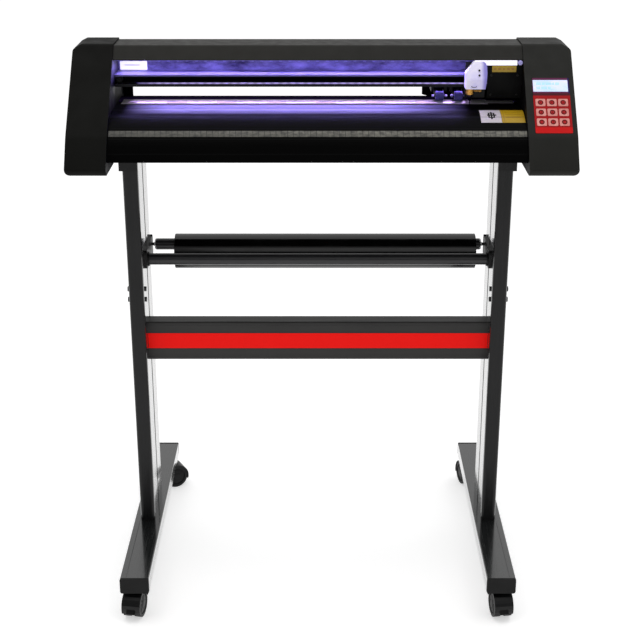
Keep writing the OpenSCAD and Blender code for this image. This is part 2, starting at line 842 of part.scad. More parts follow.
// Panel plate, with a window for the display and an opening for each key
module control_panel() {
    clear = 0.35;
    color("firebrick") on_slope() difference() {
        translate([0, 0, -3]) linear_extrude(3.6)
            polygon(rounded_box([panel_x[0], panel_y[0]], [panel_x[1], panel_y[1]], 2));
        translate([0, 0, -3 - slack]) linear_extrude(5 + slack)
            polygon(rounded_box(lcd_at - [lcd_w / 2, lcd_h / 2], lcd_at + [lcd_w / 2, lcd_h / 2], 0.5));
        for (row = [-1:1])
            for (column = [-1:1])
                translate([key_column + column * key_pitch, key_row - row * key_pitch, -3 - slack])
                    linear_extrude(5 + slack)
                        polygon(rounded_box([-key_w / 2 - clear, -key_h / 2 - clear],
                                            [key_w / 2 + clear, key_h / 2 + clear], 2.4));
    }
}

module lcd_module() {
    color("lightcyan") on_slope() union() {
        slab([lcd_at[0] - lcd_w / 2 + 0.1, lcd_at[1] - lcd_h / 2 + 0.1, -3],
             [lcd_at[0] + lcd_w / 2 - 0.1, lcd_at[1] + lcd_h / 2 - 0.1, 0.1]);
        slab([lcd_at[0] - lcd_w / 2 - 1, lcd_at[1] - lcd_h / 2 - 1, -6],
             [lcd_at[0] + lcd_w / 2 + 1, lcd_at[1] + lcd_h / 2 + 1, -3]);
    }
}

// Keys, counted from the top left
module panel_key(row, column) {
    color("pink") on_slope()
        translate([key_column + (column - 2) * key_pitch, key_row - (row - 2) * key_pitch, -2.6])
            linear_extrude(4)
                polygon(rounded_box([-key_w / 2, -key_h / 2], [key_w / 2, key_h / 2], 2));
}

// Key board behind the panel, and control board and power supply in the tray
module electronics() {
    board = 1.6;
    tray = base_bottom + 2.5;
    color("green") on_slope()
        slab([panel_x[0] + 3, panel_y[0] + 4, -8.5], [panel_x[1] - 3, panel_y[1] - 4, -8.5 + board]);
    color("green") union() {
        slab([-190, -115, tray + 6], [-10, -15, tray + 6 + board]);
        for (x = [-184, -16])
            for (y = [-109, -21])
                bar_z(tray, tray + 6, [x, y], 6);
        slab([-150, -90, tray + 6 + board], [-110, -50, tray + 12]);
        slab([-90, -100, tray + 6 + board], [-60, -30, tray + 22]);
    }
    color("silver") slab([40, -110, tray], [200, -15, tray + 38]);
}

// Switch, inlet and ports in the outer face of the right end cover, as [y, z] corners
switch_box = [[-70, 872], [-57, 894]];
inlet_box = [[-45, 872], [-17, 894]];
port_box = [[-2, 870], [40, 896]];
rocker_at = [433, 883];
rocker_pin_d = 2;

// Rocker with its pivot pin, resting with its lower half pressed in
module power_switch() {
    y_low = switch_box[0][0] + 2;
    y_high = switch_box[1][0] - 2;
    tilt = 9;
    color("black") union() {
        translate([rocker_at[0], 0, rocker_at[1]]) rotate([0, tilt, 0])
            along_y(y_low, y_high)
                polygon([[-3, -4], [3, -8], [5.8, -8], [4.6, 0], [5.8, 8], [3, 8], [-3, 4]]);
        bar_y(y_low - 1.2, y_high + 1.2, rocker_at, rocker_pin_d);
    }
}

// Frame of the switch, mains inlet with three pins, and two data ports
module side_connectors() {
    face = head_right - 0.1;
    back = head_right - 20;
    inlet_z = (inlet_box[0][1] + inlet_box[1][1]) / 2;
    inlet_y = (inlet_box[0][0] + inlet_box[1][0]) / 2;
    color("black") difference() {
        slab([back, switch_box[0][0], switch_box[0][1]], [face, switch_box[1][0], switch_box[1][1]]);
        slab([back + 2, switch_box[0][0] + 1.6, switch_box[0][1] + 1.6],
             [face + slack, switch_box[1][0] - 1.6, switch_box[1][1] - 1.6]);
        bar_y(switch_box[0][0] - slack, switch_box[1][0] + slack, rocker_at, rocker_pin_d + 2 * fit);
    }
    color("black") union() {
        difference() {
            slab([back, inlet_box[0][0], inlet_box[0][1]], [face, inlet_box[1][0], inlet_box[1][1]]);
            slab([back + 3, inlet_box[0][0] + 2, inlet_box[0][1] + 2.5],
                 [face + slack, inlet_box[1][0] - 2, inlet_box[1][1] - 2.5]);
        }
        for (pin = [[-7, -2], [0, 3], [7, -2]])
            slab([back + 2, inlet_y + pin[0] - 1, inlet_z + pin[1] - 2],
                 [face - 8, inlet_y + pin[0] + 1, inlet_z + pin[1] + 2]);
    }
    color("silver") difference() {
        slab([back, port_box[0][0], port_box[0][1]], [face, port_box[1][0], port_box[1][1]]);
        slab([back + 6, 3, 877], [face + slack, 14.5, 888]);
        slab([back + 6, 20, 877], [face + slack, 36, 887]);
    }
}

// ---- Assembly ----

left_foot();
right_foot();
foot_end_caps();
left_leg();
right_leg();
head_mounts();
crossbar();
roll_brackets();
roll_rods();
media_roll();
stand_bolts();
for (i = [0:3]) {
    castor(i);
    castor_wheels(i);
}
chassis_base();
front_apron();
rear_apron();
side_frames();
left_end_cover();
right_end_cover();
top_cover();
carriage_beam();
drive_roller();
roller_bearings();
roller_gear();
stepper_motors();
feed_pinion();
drive_pulley();
idler_pulley();
carriage_belt();
carriage_body();
carriage_cover();
blade_holder();
clamp_screw();
pinch_holder(pinch_left_x);  // left_pinch_holder
pinch_lever(pinch_left_x);  // left_pinch_lever
pinch_wheel(pinch_left_x);  // left_pinch_wheel
pinch_holder(pinch_right_x);  // right_pinch_holder
pinch_lever(pinch_right_x);  // right_pinch_lever
pinch_wheel(pinch_right_x);  // right_pinch_wheel
led_strip();
control_panel();
lcd_module();
for (row = [1:3])
    for (column = [1:3])
        panel_key(row, column);
electronics();
power_switch();
side_connectors();
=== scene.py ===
# Vinyl cutter on a castor stand: finishes, small parts, light and camera round the CAD frame.
# In metres. The origin is on the floor in the middle, -Y is the front and +Z is up.
import json
import math

import bmesh
import bpy
from mathutils import Matrix, Vector


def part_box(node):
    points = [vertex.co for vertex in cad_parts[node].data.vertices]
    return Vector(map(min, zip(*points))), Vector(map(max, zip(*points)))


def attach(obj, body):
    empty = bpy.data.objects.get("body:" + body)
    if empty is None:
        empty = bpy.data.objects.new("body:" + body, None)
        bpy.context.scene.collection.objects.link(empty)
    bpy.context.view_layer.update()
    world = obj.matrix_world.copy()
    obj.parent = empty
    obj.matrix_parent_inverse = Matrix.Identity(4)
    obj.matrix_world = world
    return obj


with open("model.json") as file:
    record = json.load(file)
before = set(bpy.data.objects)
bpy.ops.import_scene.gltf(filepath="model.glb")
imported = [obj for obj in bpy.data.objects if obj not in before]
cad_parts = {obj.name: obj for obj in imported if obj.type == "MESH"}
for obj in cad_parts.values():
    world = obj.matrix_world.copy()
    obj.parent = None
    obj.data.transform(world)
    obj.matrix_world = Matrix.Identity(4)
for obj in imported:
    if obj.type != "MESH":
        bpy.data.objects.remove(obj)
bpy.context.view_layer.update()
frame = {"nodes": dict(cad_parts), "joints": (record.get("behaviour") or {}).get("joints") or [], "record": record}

# ---- Camera, floor and light ----

CAMERA_AT = Vector((-0.003, -2.4365, 1.4408))
CAMERA_PITCH = math.radians(21.2)
CAMERA_LENS = 75.375
SENSOR_WIDTH = 36.0
FLOOR_HALF = 12.0
STAND_MIDDLE = (0.0, 0.0, 0.6)
LAMP_SHIFT = -0.045
LAMP_AIM_Z = 0.9
SLOT_LIGHT_X = -0.04
SLOT_LIGHT_Z = 0.9615
WHITE = (1.0, 1.0, 1.0, 1.0)


def make_camera():
    data = bpy.data.cameras.new("camera")
    data.lens = CAMERA_LENS
    data.sensor_width = SENSOR_WIDTH
    camera = bpy.data.objects.new("camera", data)
    camera.location = CAMERA_AT
    camera.rotation_euler = (math.pi / 2 - CAMERA_PITCH, 0.0, 0.0)
    bpy.context.scene.collection.objects.link(camera)
    bpy.context.scene.camera = camera


def map_range(tree, value, start, end, low, high):
    """Value carried from the span start to end over to the span low to high."""
    made = tree.nodes.new("ShaderNodeMapRange")
    spans = {"From Min": start, "From Max": end, "To Min": low, "To Max": high}
    for socket, number in spans.items():
        made.inputs[socket].default_value = number
    tree.links.new(value, made.inputs["Value"])
    return made.outputs["Result"]


def make_world():
    """White to the camera. As a light it is brightest overhead and dim in front."""
    world = bpy.data.worlds.new("studio")
    bpy.context.scene.world = world
    world.use_nodes = True
    tree = world.node_tree
    tree.nodes.clear()
    link = tree.links.new
    direction = tree.nodes.new("ShaderNodeTexCoord")
    split = tree.nodes.new("ShaderNodeSeparateXYZ")
    link(direction.outputs["Generated"], split.inputs["Vector"])
    strength = tree.nodes.new("ShaderNodeMath")
    strength.operation = "MULTIPLY"
    link(map_range(tree, split.outputs["Z"], -0.1, 1.0, 0.55, 1.15), strength.inputs[0])
    link(map_range(tree, split.outputs["Y"], -1.0, 0.4, 0.22, 1.0), strength.inputs[1])
    lit = tree.nodes.new("ShaderNodeBackground")
    link(strength.outputs["Value"], lit.inputs["Strength"])
    seen = tree.nodes.new("ShaderNodeBackground")
    seen.inputs["Color"].default_value = WHITE
    seen.inputs["Strength"].default_value = 1.0
    paths = tree.nodes.new("ShaderNodeLightPath")
    mix = tree.nodes.new("ShaderNodeMixShader")
    link(paths.outputs["Is Camera Ray"], mix.inputs["Fac"])
    link(lit.outputs["Background"], mix.inputs[1])
    link(seen.outputs["Background"], mix.inputs[2])
    out = tree.nodes.new("ShaderNodeOutputWorld")
    link(mix.outputs["Shader"], out.inputs["Surface"])


def area_light(name, at, towards, size, power, colour=(1.0, 1.0, 1.0), spread=180.0):
    data = bpy.data.lights.new(name, "AREA")
    data.shape = "RECTANGLE"
    data.size, data.size_y = size
    data.energy = power
    data.color = colour
    data.spread = math.radians(spread)
    light = bpy.data.objects.new(name, data)
    light.location = at
    light.rotation_mode = "QUATERNION"
    light.rotation_quaternion = (Vector(towards) - Vector(at)).to_track_quat("-Z", "Y")
    light.visible_camera = False
    bpy.context.scene.collection.objects.link(light)


def studio_lights():
    area_light("overhead", (0.0, -0.4, 3.4), STAND_MIDDLE, (3.2, 2.4), 24.0)
    area_light("front_fill", (0.6, -3.2, 2.2), STAND_MIDDLE, (2.4, 1.6), 7.0)


def lamp_lights():
    """The lamp's light on the beam and platen, and what the slot of the drive roller gets of it."""
    low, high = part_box("led_strip")
    x = (low.x + high.x) / 2 + LAMP_SHIFT
    area_light("lamp_down", (x, low.y + 0.001, low.z - 0.002), (x, low.y - 0.003, LAMP_AIM_Z),
               (high.x - low.x - 0.10, 0.005), 1.0, (0.40, 0.32, 1.0))
    roller_low, roller_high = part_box("drive_roller")
    y = (roller_low.y + roller_high.y) / 2
    area_light("lamp_under", (SLOT_LIGHT_X, y, SLOT_LIGHT_Z), (SLOT_LIGHT_X, y, PLATEN_Z),
               (0.60, 0.006), 0.055, (0.62, 0.42, 1.0), 64.0)


def make_floor():
    mesh = bpy.data.meshes.new("floor")
    corners = [(-FLOOR_HALF, -FLOOR_HALF, 0), (FLOOR_HALF, -FLOOR_HALF, 0),
               (FLOOR_HALF, FLOOR_HALF, 0), (-FLOOR_HALF, FLOOR_HALF, 0)]
    mesh.from_pydata(corners, [], [(0, 1, 2, 3)])
    floor = bpy.data.objects.new("floor", mesh)
    material = bpy.data.materials.new("pale_floor")
    material.use_nodes = True
    shader = material.node_tree.nodes["Principled BSDF"]
    shader.inputs["Base Color"].default_value = (0.93, 0.93, 0.93, 1.0)
    shader.inputs["Roughness"].default_value = 0.9
    shader.inputs["Specular IOR Level"].default_value = 0.1
    shader.inputs["Emission Color"].default_value = WHITE
    shader.inputs["Emission Strength"].default_value = 0.5
    mesh.materials.append(material)
    bpy.context.scene.collection.objects.link(floor)


# ---- Places ----

PLATEN_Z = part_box("front_apron")[1].z

# The sloping face of the head rises 137 mm over 132 mm, and SLOPE_FOOT lies on it.
SLOPE = math.atan2(137.0, 132.0)
SLOPE_FOOT = Vector((0.0, -0.171, 0.900))

# Turns that take a shape's z along the cutter, to its front and to its rear.
ALONG_X = Matrix(((0, 0, 1, 0), (1, 0, 0, 0), (0, 1, 0, 0), (0, 0, 0, 1)))
TO_FRONT = Matrix(((1, 0, 0, 0), (0, 0, -1, 0), (0, 1, 0, 0), (0, 0, 0, 1)))
TO_REAR = Matrix(((-1, 0, 0, 0), (0, 0, 1, 0), (0, 1, 0, 0), (0, 0, 0, 1)))


def at(x, y, z, turned=Matrix.Identity(4)):
    return Matrix.Translation((x, y, z)) @ turned


def slope_place(x, up, out):
    """Place on the sloping face: x along the cutter, up the slope, and out of it."""
    turned = Matrix.Rotation(SLOPE, 4, "X")
    return Matrix.Translation(SLOPE_FOOT) @ turned @ Matrix.Translation((x, up, out))


def slope_height(up):
    return slope_place(0.0, up, 0.0).translation.z


# ---- Materials ----

def srgb(red, green, blue):
    """Linear colour of an sRGB one given from 0 to 255."""
    def one(c):
        c /= 255.0
        return c / 12.92 if c <= 0.04045 else ((c + 0.055) / 1.055) ** 2.4
    return (one(red), one(green), one(blue), 1.0)


def shade(colour, amount):
    return tuple(c * amount for c in colour[:3]) + (1.0,)


class Finish:
    """A Principled material that is built up node by node."""

    def __init__(self, name, roughness, metallic=0.0, **sockets):
        self.material = bpy.data.materials.new(name)
        self.material.use_nodes = True
        self.tree = self.material.node_tree
        self.shader = self.tree.nodes["Principled BSDF"]
        self.shader.inputs["Roughness"].default_value = roughness
        self.shader.inputs["Metallic"].default_value = metallic
        for socket, value in sockets.items():
            self.shader.inputs[socket.replace("_", " ")].default_value = value
        self.place = self.node("ShaderNodeTexCoord").outputs["Object"]

    def node(self, kind, **properties):
        made = self.tree.nodes.new(kind)
        for key, value in properties.items():
            setattr(made, key, value)
        return made

    def put(self, value, socket):
        """A constant is set on the socket, and anything else is linked to it."""
        if isinstance(value, (int, float, tuple)):
            socket.default_value = value
        else:
            self.tree.links.new(value, socket)

    def noise(self, scale, stretch=(1, 1, 1), detail=3.0, rough=0.5):
        mapping = self.node("ShaderNodeMapping")
        self.put(stretch, mapping.inputs["Scale"])
        self.put(self.place, mapping.inputs["Vector"])
        made = self.node("ShaderNodeTexNoise")
        self.put(scale, made.inputs["Scale"])
        self.put(detail, made.inputs["Detail"])
        self.put(rough, made.inputs["Roughness"])
        self.put(mapping.outputs["Vector"], made.inputs["Vector"])
        return made.outputs["Fac"]

    def spread(self, value, low=0.0, high=1.0, start=0.3, end=0.7):
        return map_range(self.tree, value, start, end, low, high)

    def math(self, operation, first, second=0.0):
        made = self.node("ShaderNodeMath", operation=operation)
        self.put(first, made.inputs[0])
        self.put(second, made.inputs[1])
        return made.outputs["Value"]

    def axis(self, name):
        split = self.node("ShaderNodeSeparateXYZ")
        self.put(self.place, split.inputs["Vector"])
        return split.outputs[name]

    def above(self, axis, limit):
        return self.math("GREATER_THAN", self.axis(axis), limit)

    def below(self, axis, limit):
        return self.math("LESS_THAN", self.axis(axis), limit)

    def marks(self, pitch, share):
        """One on the first share of each pitch along x, and zero on the rest of it."""
        turns = self.math("DIVIDE", self.math("ADD", self.axis("X"), 1.0), pitch)
        return self.math("LESS_THAN", self.math("FRACT", turns), share)

    def lit_span(self, left, right):
        """One along x where the lamp falls, fading over a span at each end."""
        x = self.axis("X")
        return self.math("MULTIPLY", self.spread(x, 0.0, 1.0, *left), self.spread(x, 1.0, 0.0, *right))

    def mixed(self, value, first, second):
        made = self.node("ShaderNodeMix", data_type="RGBA")
        self.put(value, made.inputs["Factor"])
        self.put(first, made.inputs[6])
        self.put(second, made.inputs[7])
        return made.outputs[2]

    def colour(self, value):
        self.put(value, self.shader.inputs["Base Color"])
        return self

    def clouded(self, cloud, colour, darker, lighter):
        """Colour that drifts between a darker and a lighter shade of one."""
        return self.colour(self.mixed(cloud, shade(colour, darker), shade(colour, lighter)))

    def rough(self, value):
        self.put(value, self.shader.inputs["Roughness"])
        return self

    def glow(self, colour, strength):
        self.put(colour, self.shader.inputs["Emission Color"])
        self.put(strength, self.shader.inputs["Emission Strength"])
        return self

    def bump(self, height, strength, depth):
        """The last step of a finish, which gives the material."""
        made = self.node("ShaderNodeBump")
        self.put(strength, made.inputs["Strength"])
        self.put(depth, made.inputs["Distance"])
        self.put(height, made.inputs["Height"])
        self.put(made.outputs["Normal"], self.shader.inputs["Normal"])
        return self.material


def moulded(name, colour, roughness=0.45, grain=900.0, depth=0.00006, specular=0.5):
    """Moulded plastic: fine texture, faint clouding and scuffs that are shinier."""
    f = Finish(name, roughness, Specular_IOR_Level=specular)
    f.clouded(f.spread(f.noise(9.0, detail=4.0)), colour, 0.82, 1.2)
    f.rough(f.spread(f.noise(30.0, detail=6.0), roughness - 0.07, roughness + 0.09))
    return f.bump(f.noise(grain, detail=2.0), 0.35, depth)


def painted(name, colour, roughness=0.38, specular=0.5):
    """Powder-coated or painted sheet: orange peel, a little uneven gloss."""
    f = Finish(name, roughness, Specular_IOR_Level=specular)
    f.clouded(f.spread(f.noise(6.0, detail=5.0)), colour, 0.85, 1.15)
    f.rough(f.spread(f.noise(55.0, detail=5.0), roughness - 0.05, roughness + 0.08))
    return f.bump(f.noise(420.0, detail=1.0), 0.25, 0.00008)


def anodised(name, colour, along, roughness=0.32, specular=0.5, coat=0.0):
    """Anodised extrusion: fine drawing lines along its length."""
    f = Finish(name, roughness, Specular_IOR_Level=specular, Coat_Weight=coat, Coat_Roughness=0.08)
    stretch = tuple(0.02 if axis == along else 1.0 for axis in "xyz")
    lines = f.noise(700.0, stretch, detail=4.0)
    f.clouded(f.spread(f.noise(7.0)), colour, 0.85, 1.15)
    f.rough(f.spread(lines, roughness - 0.08, roughness + 0.1))
    return f.bump(lines, 0.2, 0.00004)


def rubber(name, colour, roughness=0.6):
    """Rubber with lighter dust on it."""
    f = Finish(name, roughness, Specular_IOR_Level=0.25)
    dust = f.noise(38.0, detail=6.0, rough=0.7)
    f.clouded(f.spread(dust, 0.0, 1.0, 0.4, 0.75), colour, 1.0, 2.2)
    f.rough(f.spread(dust, roughness - 0.1, roughness + 0.15))
    return f.bump(f.noise(1500.0, detail=2.0), 0.3, 0.00005)


def metal(name, colour, roughness=0.25, along=None):
    """Bright metal, brushed along one axis if that is given."""
    f = Finish(name, roughness, 1.0)
    stretch = tuple(0.03 if axis == along else 1.0 for axis in "xyz")
    brushed = f.noise(1200.0, stretch, detail=4.0)
    f.clouded(f.spread(f.noise(20.0)), colour, 0.85, 1.05)
    f.rough(f.spread(brushed, roughness - 0.08, roughness + 0.12))
    return f.bump(brushed, 0.15, 0.00003)


def lamp_lit(name, colour, strength):
    """Plastic or glass that glows, slightly uneven: the lamp's and display's own light, and painted glow on the
    white label and cable guide.
    """
    f = Finish(name, 0.35)
    mixed = f.mixed(f.spread(f.noise(120.0)), shade(colour, 0.9), colour)
    return f.colour(mixed).glow(mixed, strength).material


def printed(name, colour, roughness=0.4, fleck=0.12, coat=0.15, specular=0.3, glow=0.0, glow_colour=WHITE):
    """Printed film or label: even ink with faint fibres."""
    f = Finish(name, roughness, Coat_Weight=coat, Coat_Roughness=0.2, Specular_IOR_Level=specular)
    fibre = f.noise(350.0, detail=4.0)
    f.clouded(f.spread(fibre), colour, 1 - fleck, 1.0)
    f.rough(f.spread(f.noise(70.0), roughness - 0.06, roughness + 0.06))
    f.glow(glow_colour, glow)
    return f.bump(fibre, 0.12, 0.00003)


def board_finish():
    """Circuit board: solder mask over tracks."""
    f = Finish("circuit_board", 0.3, Coat_Weight=0.5)
    cells = f.node("ShaderNodeTexBrick")
    f.put(160.0, cells.inputs["Scale"])
    f.put(0.03, cells.inputs["Mortar Size"])
    f.put(f.place, cells.inputs["Vector"])
    f.colour(f.mixed(cells.outputs["Fac"], srgb(18, 88, 50), srgb(40, 130, 80)))
    f.rough(f.spread(f.noise(200.0), 0.25, 0.4))
    return f.bump(cells.outputs["Fac"], 0.3, 0.00005)


def leg_finish():
    """Drawn extrusion: glossy broad faces, and a flatter finish in their grooves and on the edges."""
    edge_y = 0.0622
    groove_y = 0.0047
    f = Finish("leg_anodised", 0.2, Specular_IOR_Level=0.22, Coat_Roughness=0.08)
    lines = f.noise(700.0, (1.0, 1.0, 0.02), detail=4.0)
    from_middle = f.math("ABSOLUTE", f.axis("Y"))
    edge = f.math("GREATER_THAN", from_middle, edge_y)
    groove = f.math("LESS_THAN", from_middle, groove_y)
    broad = f.math("SUBTRACT", 1.0, f.math("ADD", edge, groove))
    f.colour(f.mixed(f.spread(f.noise(7.0)), srgb(12, 12, 13), srgb(18, 18, 19)))
    f.put(f.math("ADD", f.math("MULTIPLY", broad, 0.92), 0.08), f.shader.inputs["Coat Weight"])
    f.rough(f.math("ADD", f.math("MULTIPLY", edge, 0.14), f.spread(lines, 0.12, 0.3)))
    return f.bump(lines, 0.2, 0.00004)


def roller_finish():
    """Feed roller: polished steel with a painted lavender tint from the lamp, and bands of fine grit along it."""
    # The steel's lavender tint is the lamp's reflection painted into its colour.
    steel = (0.86, 0.82, 0.88, 1.0)
    f = Finish("roller_steel", 0.36, 0.6)
    band = f.marks(pitch=0.09, share=0.4)
    grit = f.noise(2600.0, detail=2.0)
    f.colour(f.mixed(band, steel, shade(steel, 0.8)))
    f.rough(f.math("ADD", f.math("MULTIPLY", band, 0.14), f.spread(grit, 0.34, 0.44)))
    return f.bump(f.math("MULTIPLY", band, grit), 0.5, 0.00008)


def ruler_finish():
    """Scale strip: a mark each 2 mm and a longer one each 10 mm, mottled, and darker at its left end as painted
    shade.
    """
    middle_z = 0.9035
    paper, ink = srgb(112, 110, 100), srgb(36, 35, 32)
    f = Finish("ruler_strip", 0.42)
    short = f.math("MULTIPLY", f.marks(pitch=0.002, share=0.3), f.below("Z", middle_z))
    marks = f.math("MAXIMUM", short, f.marks(pitch=0.01, share=0.16))
    worn = f.spread(f.noise(90.0, detail=5.0), 0.4, 0.9)
    mottle = f.spread(f.noise(210.0, (0.5, 1.0, 1.0), detail=5.0), 0.0, 1.0, 0.35, 0.62)
    mottled = f.mixed(mottle, shade(paper, 0.35), shade(paper, 1.15))
    # Painted shade: darker towards the left end.
    dim = f.spread(f.axis("X"), 0.62, 0.0, -0.36, 0.10)
    f.colour(f.mixed(f.math("MULTIPLY", marks, worn), f.mixed(dim, mottled, ink), ink))
    f.rough(f.spread(f.noise(40.0), 0.35, 0.5))
    return f.bump(marks, 0.2, 0.00004)


def beam_finish():
    """Anodised beam with the lamp's light painted into its colour: painted purple glow in clouds on the upright
    wall, a painted lit ledge, and plain near-black below it.
    """
    wall_z, rear_wall_z, ledge_z = 0.9846, 0.9825, 0.9811
    rear_wall_y = -0.024
    f = Finish("beam_anodised_painted_lamp_light", 0.36, Specular_IOR_Level=0.2)
    clouds = f.noise(24.0, (0.7, 1.0, 1.6), detail=6.0, rough=0.68)
    behind = f.math("SUBTRACT", 1.0, f.below("Y", rear_wall_y))
    rear_wall = f.math("MULTIPLY", f.above("Z", rear_wall_z), behind)
    wall = f.math("MAXIMUM", f.above("Z", wall_z), rear_wall)
    # Painted lamp light: purple glow in clouds on the upright walls.
    painted_lamp_glow = f.mixed(f.spread(clouds, 0.0, 1.0, 0.36, 0.68), srgb(52, 48, 74), srgb(150, 146, 190))
    # Painted lamp light on the ledge, lighter towards its rear and darker at its front edge.
    nearer = f.spread(f.axis("Y"), 1.0, 0.0, -0.048, -0.026)
    ledge = f.mixed(nearer, srgb(164, 158, 198), srgb(90, 86, 114))
    plain = f.mixed(f.above("Z", ledge_z), srgb(9, 9, 12), ledge)
    f.colour(f.mixed(wall, plain, painted_lamp_glow))
    f.rough(f.spread(clouds, 0.3, 0.48))
    return f.bump(f.noise(700.0, (0.02, 1, 1)), 0.15, 0.00004)


def apron_finish():
    """Black extrusion with the lamp's light painted on its flat top as a lighter purple band, in streaks and
    fading towards both ends.
    """
    f = Finish("apron_anodised_painted_lamp_light", 0.34, Specular_IOR_Level=0.03)
    lines = f.noise(420.0, (0.02, 1, 1), detail=4.0)
    y = f.axis("Y")
    # Painted lamp light: a lighter purple band across the flat top, broken into streaks and fading at both ends.
    across = f.math("MULTIPLY", f.spread(y, 0.0, 1.0, -0.116, -0.106), f.spread(y, 1.0, 0.0, -0.046, -0.038))
    painted_light_streaks = f.spread(f.noise(160.0, (0.004, 1, 1), detail=2.0), 0.45, 1.0)
    lit = f.lit_span((-0.352, -0.275), (0.10, 0.26))
    band = f.math("MULTIPLY", across, f.math("MULTIPLY", painted_light_streaks, lit))
    f.colour(f.mixed(band, srgb(4, 4, 4), srgb(158, 150, 192)))
    f.rough(f.spread(lines, 0.28, 0.44))
    return f.bump(lines, 0.2, 0.00004)


def rear_apron_finish():
    """Matt black extrusion, with the lamp's light painted faintly purple on its flat top."""
    f = Finish("rear_apron_anodised_painted_lamp_light", 0.55, Specular_IOR_Level=0.0)
    # Painted lamp light: faint purple on the flat top.
    top = f.spread(f.axis("Y"), 1.0, 0.0, 0.005, 0.03)
    f.colour(f.mixed(top, srgb(7, 7, 8), srgb(74, 56, 108)))
    lines = f.noise(420.0, (0.02, 1, 1), detail=4.0)
    f.rough(f.spread(lines, 0.5, 0.66))
    return f.bump(lines, 0.2, 0.00004)


def frame_finish():
    """Side plates: black paint, greyer high on the left one where the lamp falls on it."""
    left_plate_x = -0.365
    f = Finish("frame_paint", 0.5, Specular_IOR_Level=0.1)
    cloud = f.spread(f.noise(22.0, detail=5.0))
    lit = f.mixed(cloud, srgb(58, 56, 72), srgb(96, 92, 116))
    high = f.spread(f.axis("Z"), 0.0, 1.0, 0.972, 1.0)
    left = f.below("X", left_plate_x)
    f.colour(f.mixed(left, srgb(7, 7, 7), f.mixed(high, srgb(5, 4, 10), lit)))
    f.rough(f.spread(cloud, 0.42, 0.58))
    return f.bump(f.noise(420.0), 0.2, 0.00006)


def carriage_finish():
    """White moulding with the lamp's light painted on: a lavender tint, lavender-blue painted shade down its right
    edge, and a faint painted glow for the lamp beside it.
    """
    f = Finish("carriage_white_plastic", 0.36, Specular_IOR_Level=0.4)
    cloud = f.spread(f.noise(40.0, detail=4.0))
    # Pale lavender-white: the lamp's tint painted into the white.
    white = f.mixed(cloud, srgb(206, 200, 248), srgb(246, 242, 255))
    # Painted shade, lavender-blue, down the rounded right edge.
    edge = f.spread(f.axis("X"), 0.0, 1.0, 0.2815, 0.2875)
    f.colour(f.mixed(edge, white, srgb(100, 90, 196)))
    # Painted glow standing in for the lamp's light; the cover is no lamp.
    f.glow((0.80, 0.74, 1.0, 1.0), 0.16)
    f.rough(f.spread(f.noise(60.0), 0.3, 0.44))
    return f.bump(f.noise(500.0), 0.25, 0.00005)


def brass_finish():
    """Dark blade holder with a brass collar between two heights, ribbed round its axis."""
    collar_low, collar_high = 0.9535, 0.9645
    rib_count = 40.0
    low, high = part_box("blade_holder")
    f = Finish("brass_knurled", 0.28, 1.0)
    colour = srgb(214, 160, 80)
    brass = f.mixed(f.spread(f.noise(60.0)), shade(colour, 0.75), shade(colour, 1.1))
    collar = f.math("MULTIPLY", f.above("Z", collar_low), f.below("Z", collar_high))
    f.colour(f.mixed(collar, srgb(30, 28, 44), brass))
    x = f.math("SUBTRACT", f.axis("X"), (low.x + high.x) / 2)
    y = f.math("SUBTRACT", f.axis("Y"), (low.y + high.y) / 2)
    turn = f.math("ARCTAN2", y, x)
    f.rough(f.spread(f.noise(400.0), 0.2, 0.36))
    return f.bump(f.math("SINE", f.math("MULTIPLY", turn, rib_count)), 0.4, 0.00022)


def trim_finish():
    """Strip along the beam's lip with the lamp's light painted on it: a glowing dash each 15 mm, fading towards
    both ends.
    """
    dash_pitch = 0.015
    f = Finish("lip_trim", 0.3)
    turns = f.math("MULTIPLY", f.math("ADD", f.axis("X"), 1.0), 2 * math.pi / dash_pitch)
    # Painted lamp light: glowing dashes along the strip, fading at both ends.
    painted_glow_dashes = f.spread(f.math("SINE", turns), 0.45, 1.0, -1.0, 0.7)
    lit = f.math("MULTIPLY", painted_glow_dashes, f.lit_span((-0.33, -0.29), (0.27, 0.30)))
    mixed = f.mixed(lit, srgb(70, 60, 108), srgb(178, 164, 214))
    f.colour(mixed).glow(mixed, 0.3)
    return f.bump(f.noise(300.0), 0.1, 0.00002)


def display_finish():
    """Lit display: pale cyan with whiter streaks."""
    f = Finish("display_glass", 0.3, Specular_IOR_Level=0.3)
    tone = f.spread(f.noise(90.0, (0.4, 1, 1), detail=4.0))
    mixed = f.mixed(tone, srgb(178, 204, 228), srgb(214, 212, 246))
    return f.colour(mixed).glow(mixed, 0.62).material


def key_finish():
    """Pink key film, a little uneven."""
    f = Finish("key_film", 0.4, Specular_IOR_Level=0.3)
    f.colour(f.mixed(f.spread(f.noise(60.0)), srgb(228, 138, 130), srgb(248, 176, 166)))
    f.rough(f.spread(f.noise(120.0), 0.34, 0.48))
    return f.bump(f.noise(900.0), 0.15, 0.00003)


def panel_finish():
    """Membrane film: red round and below the keys, dark round the display."""
    right_side_x = 0.4305
    f = Finish("panel_film", 0.4, Specular_IOR_Level=0.12)
    keypad_red = f.mixed(f.spread(f.noise(30.0)), srgb(168, 8, 14), srgb(184, 10, 18))
    red = f.mixed(f.below("Z", slope_height(0.0195)), keypad_red, srgb(216, 8, 10))
    between = f.mixed(f.below("Z", slope_height(0.0835)), srgb(84, 20, 32), red)
    top = f.mixed(f.above("X", right_side_x), srgb(104, 36, 78), srgb(40, 20, 92))
    f.colour(f.mixed(f.above("Z", slope_height(0.0885)), between, top))
    f.rough(f.spread(f.noise(60.0), 0.28, 0.42))
    return f.bump(f.noise(1600.0), 0.2, 0.00003)


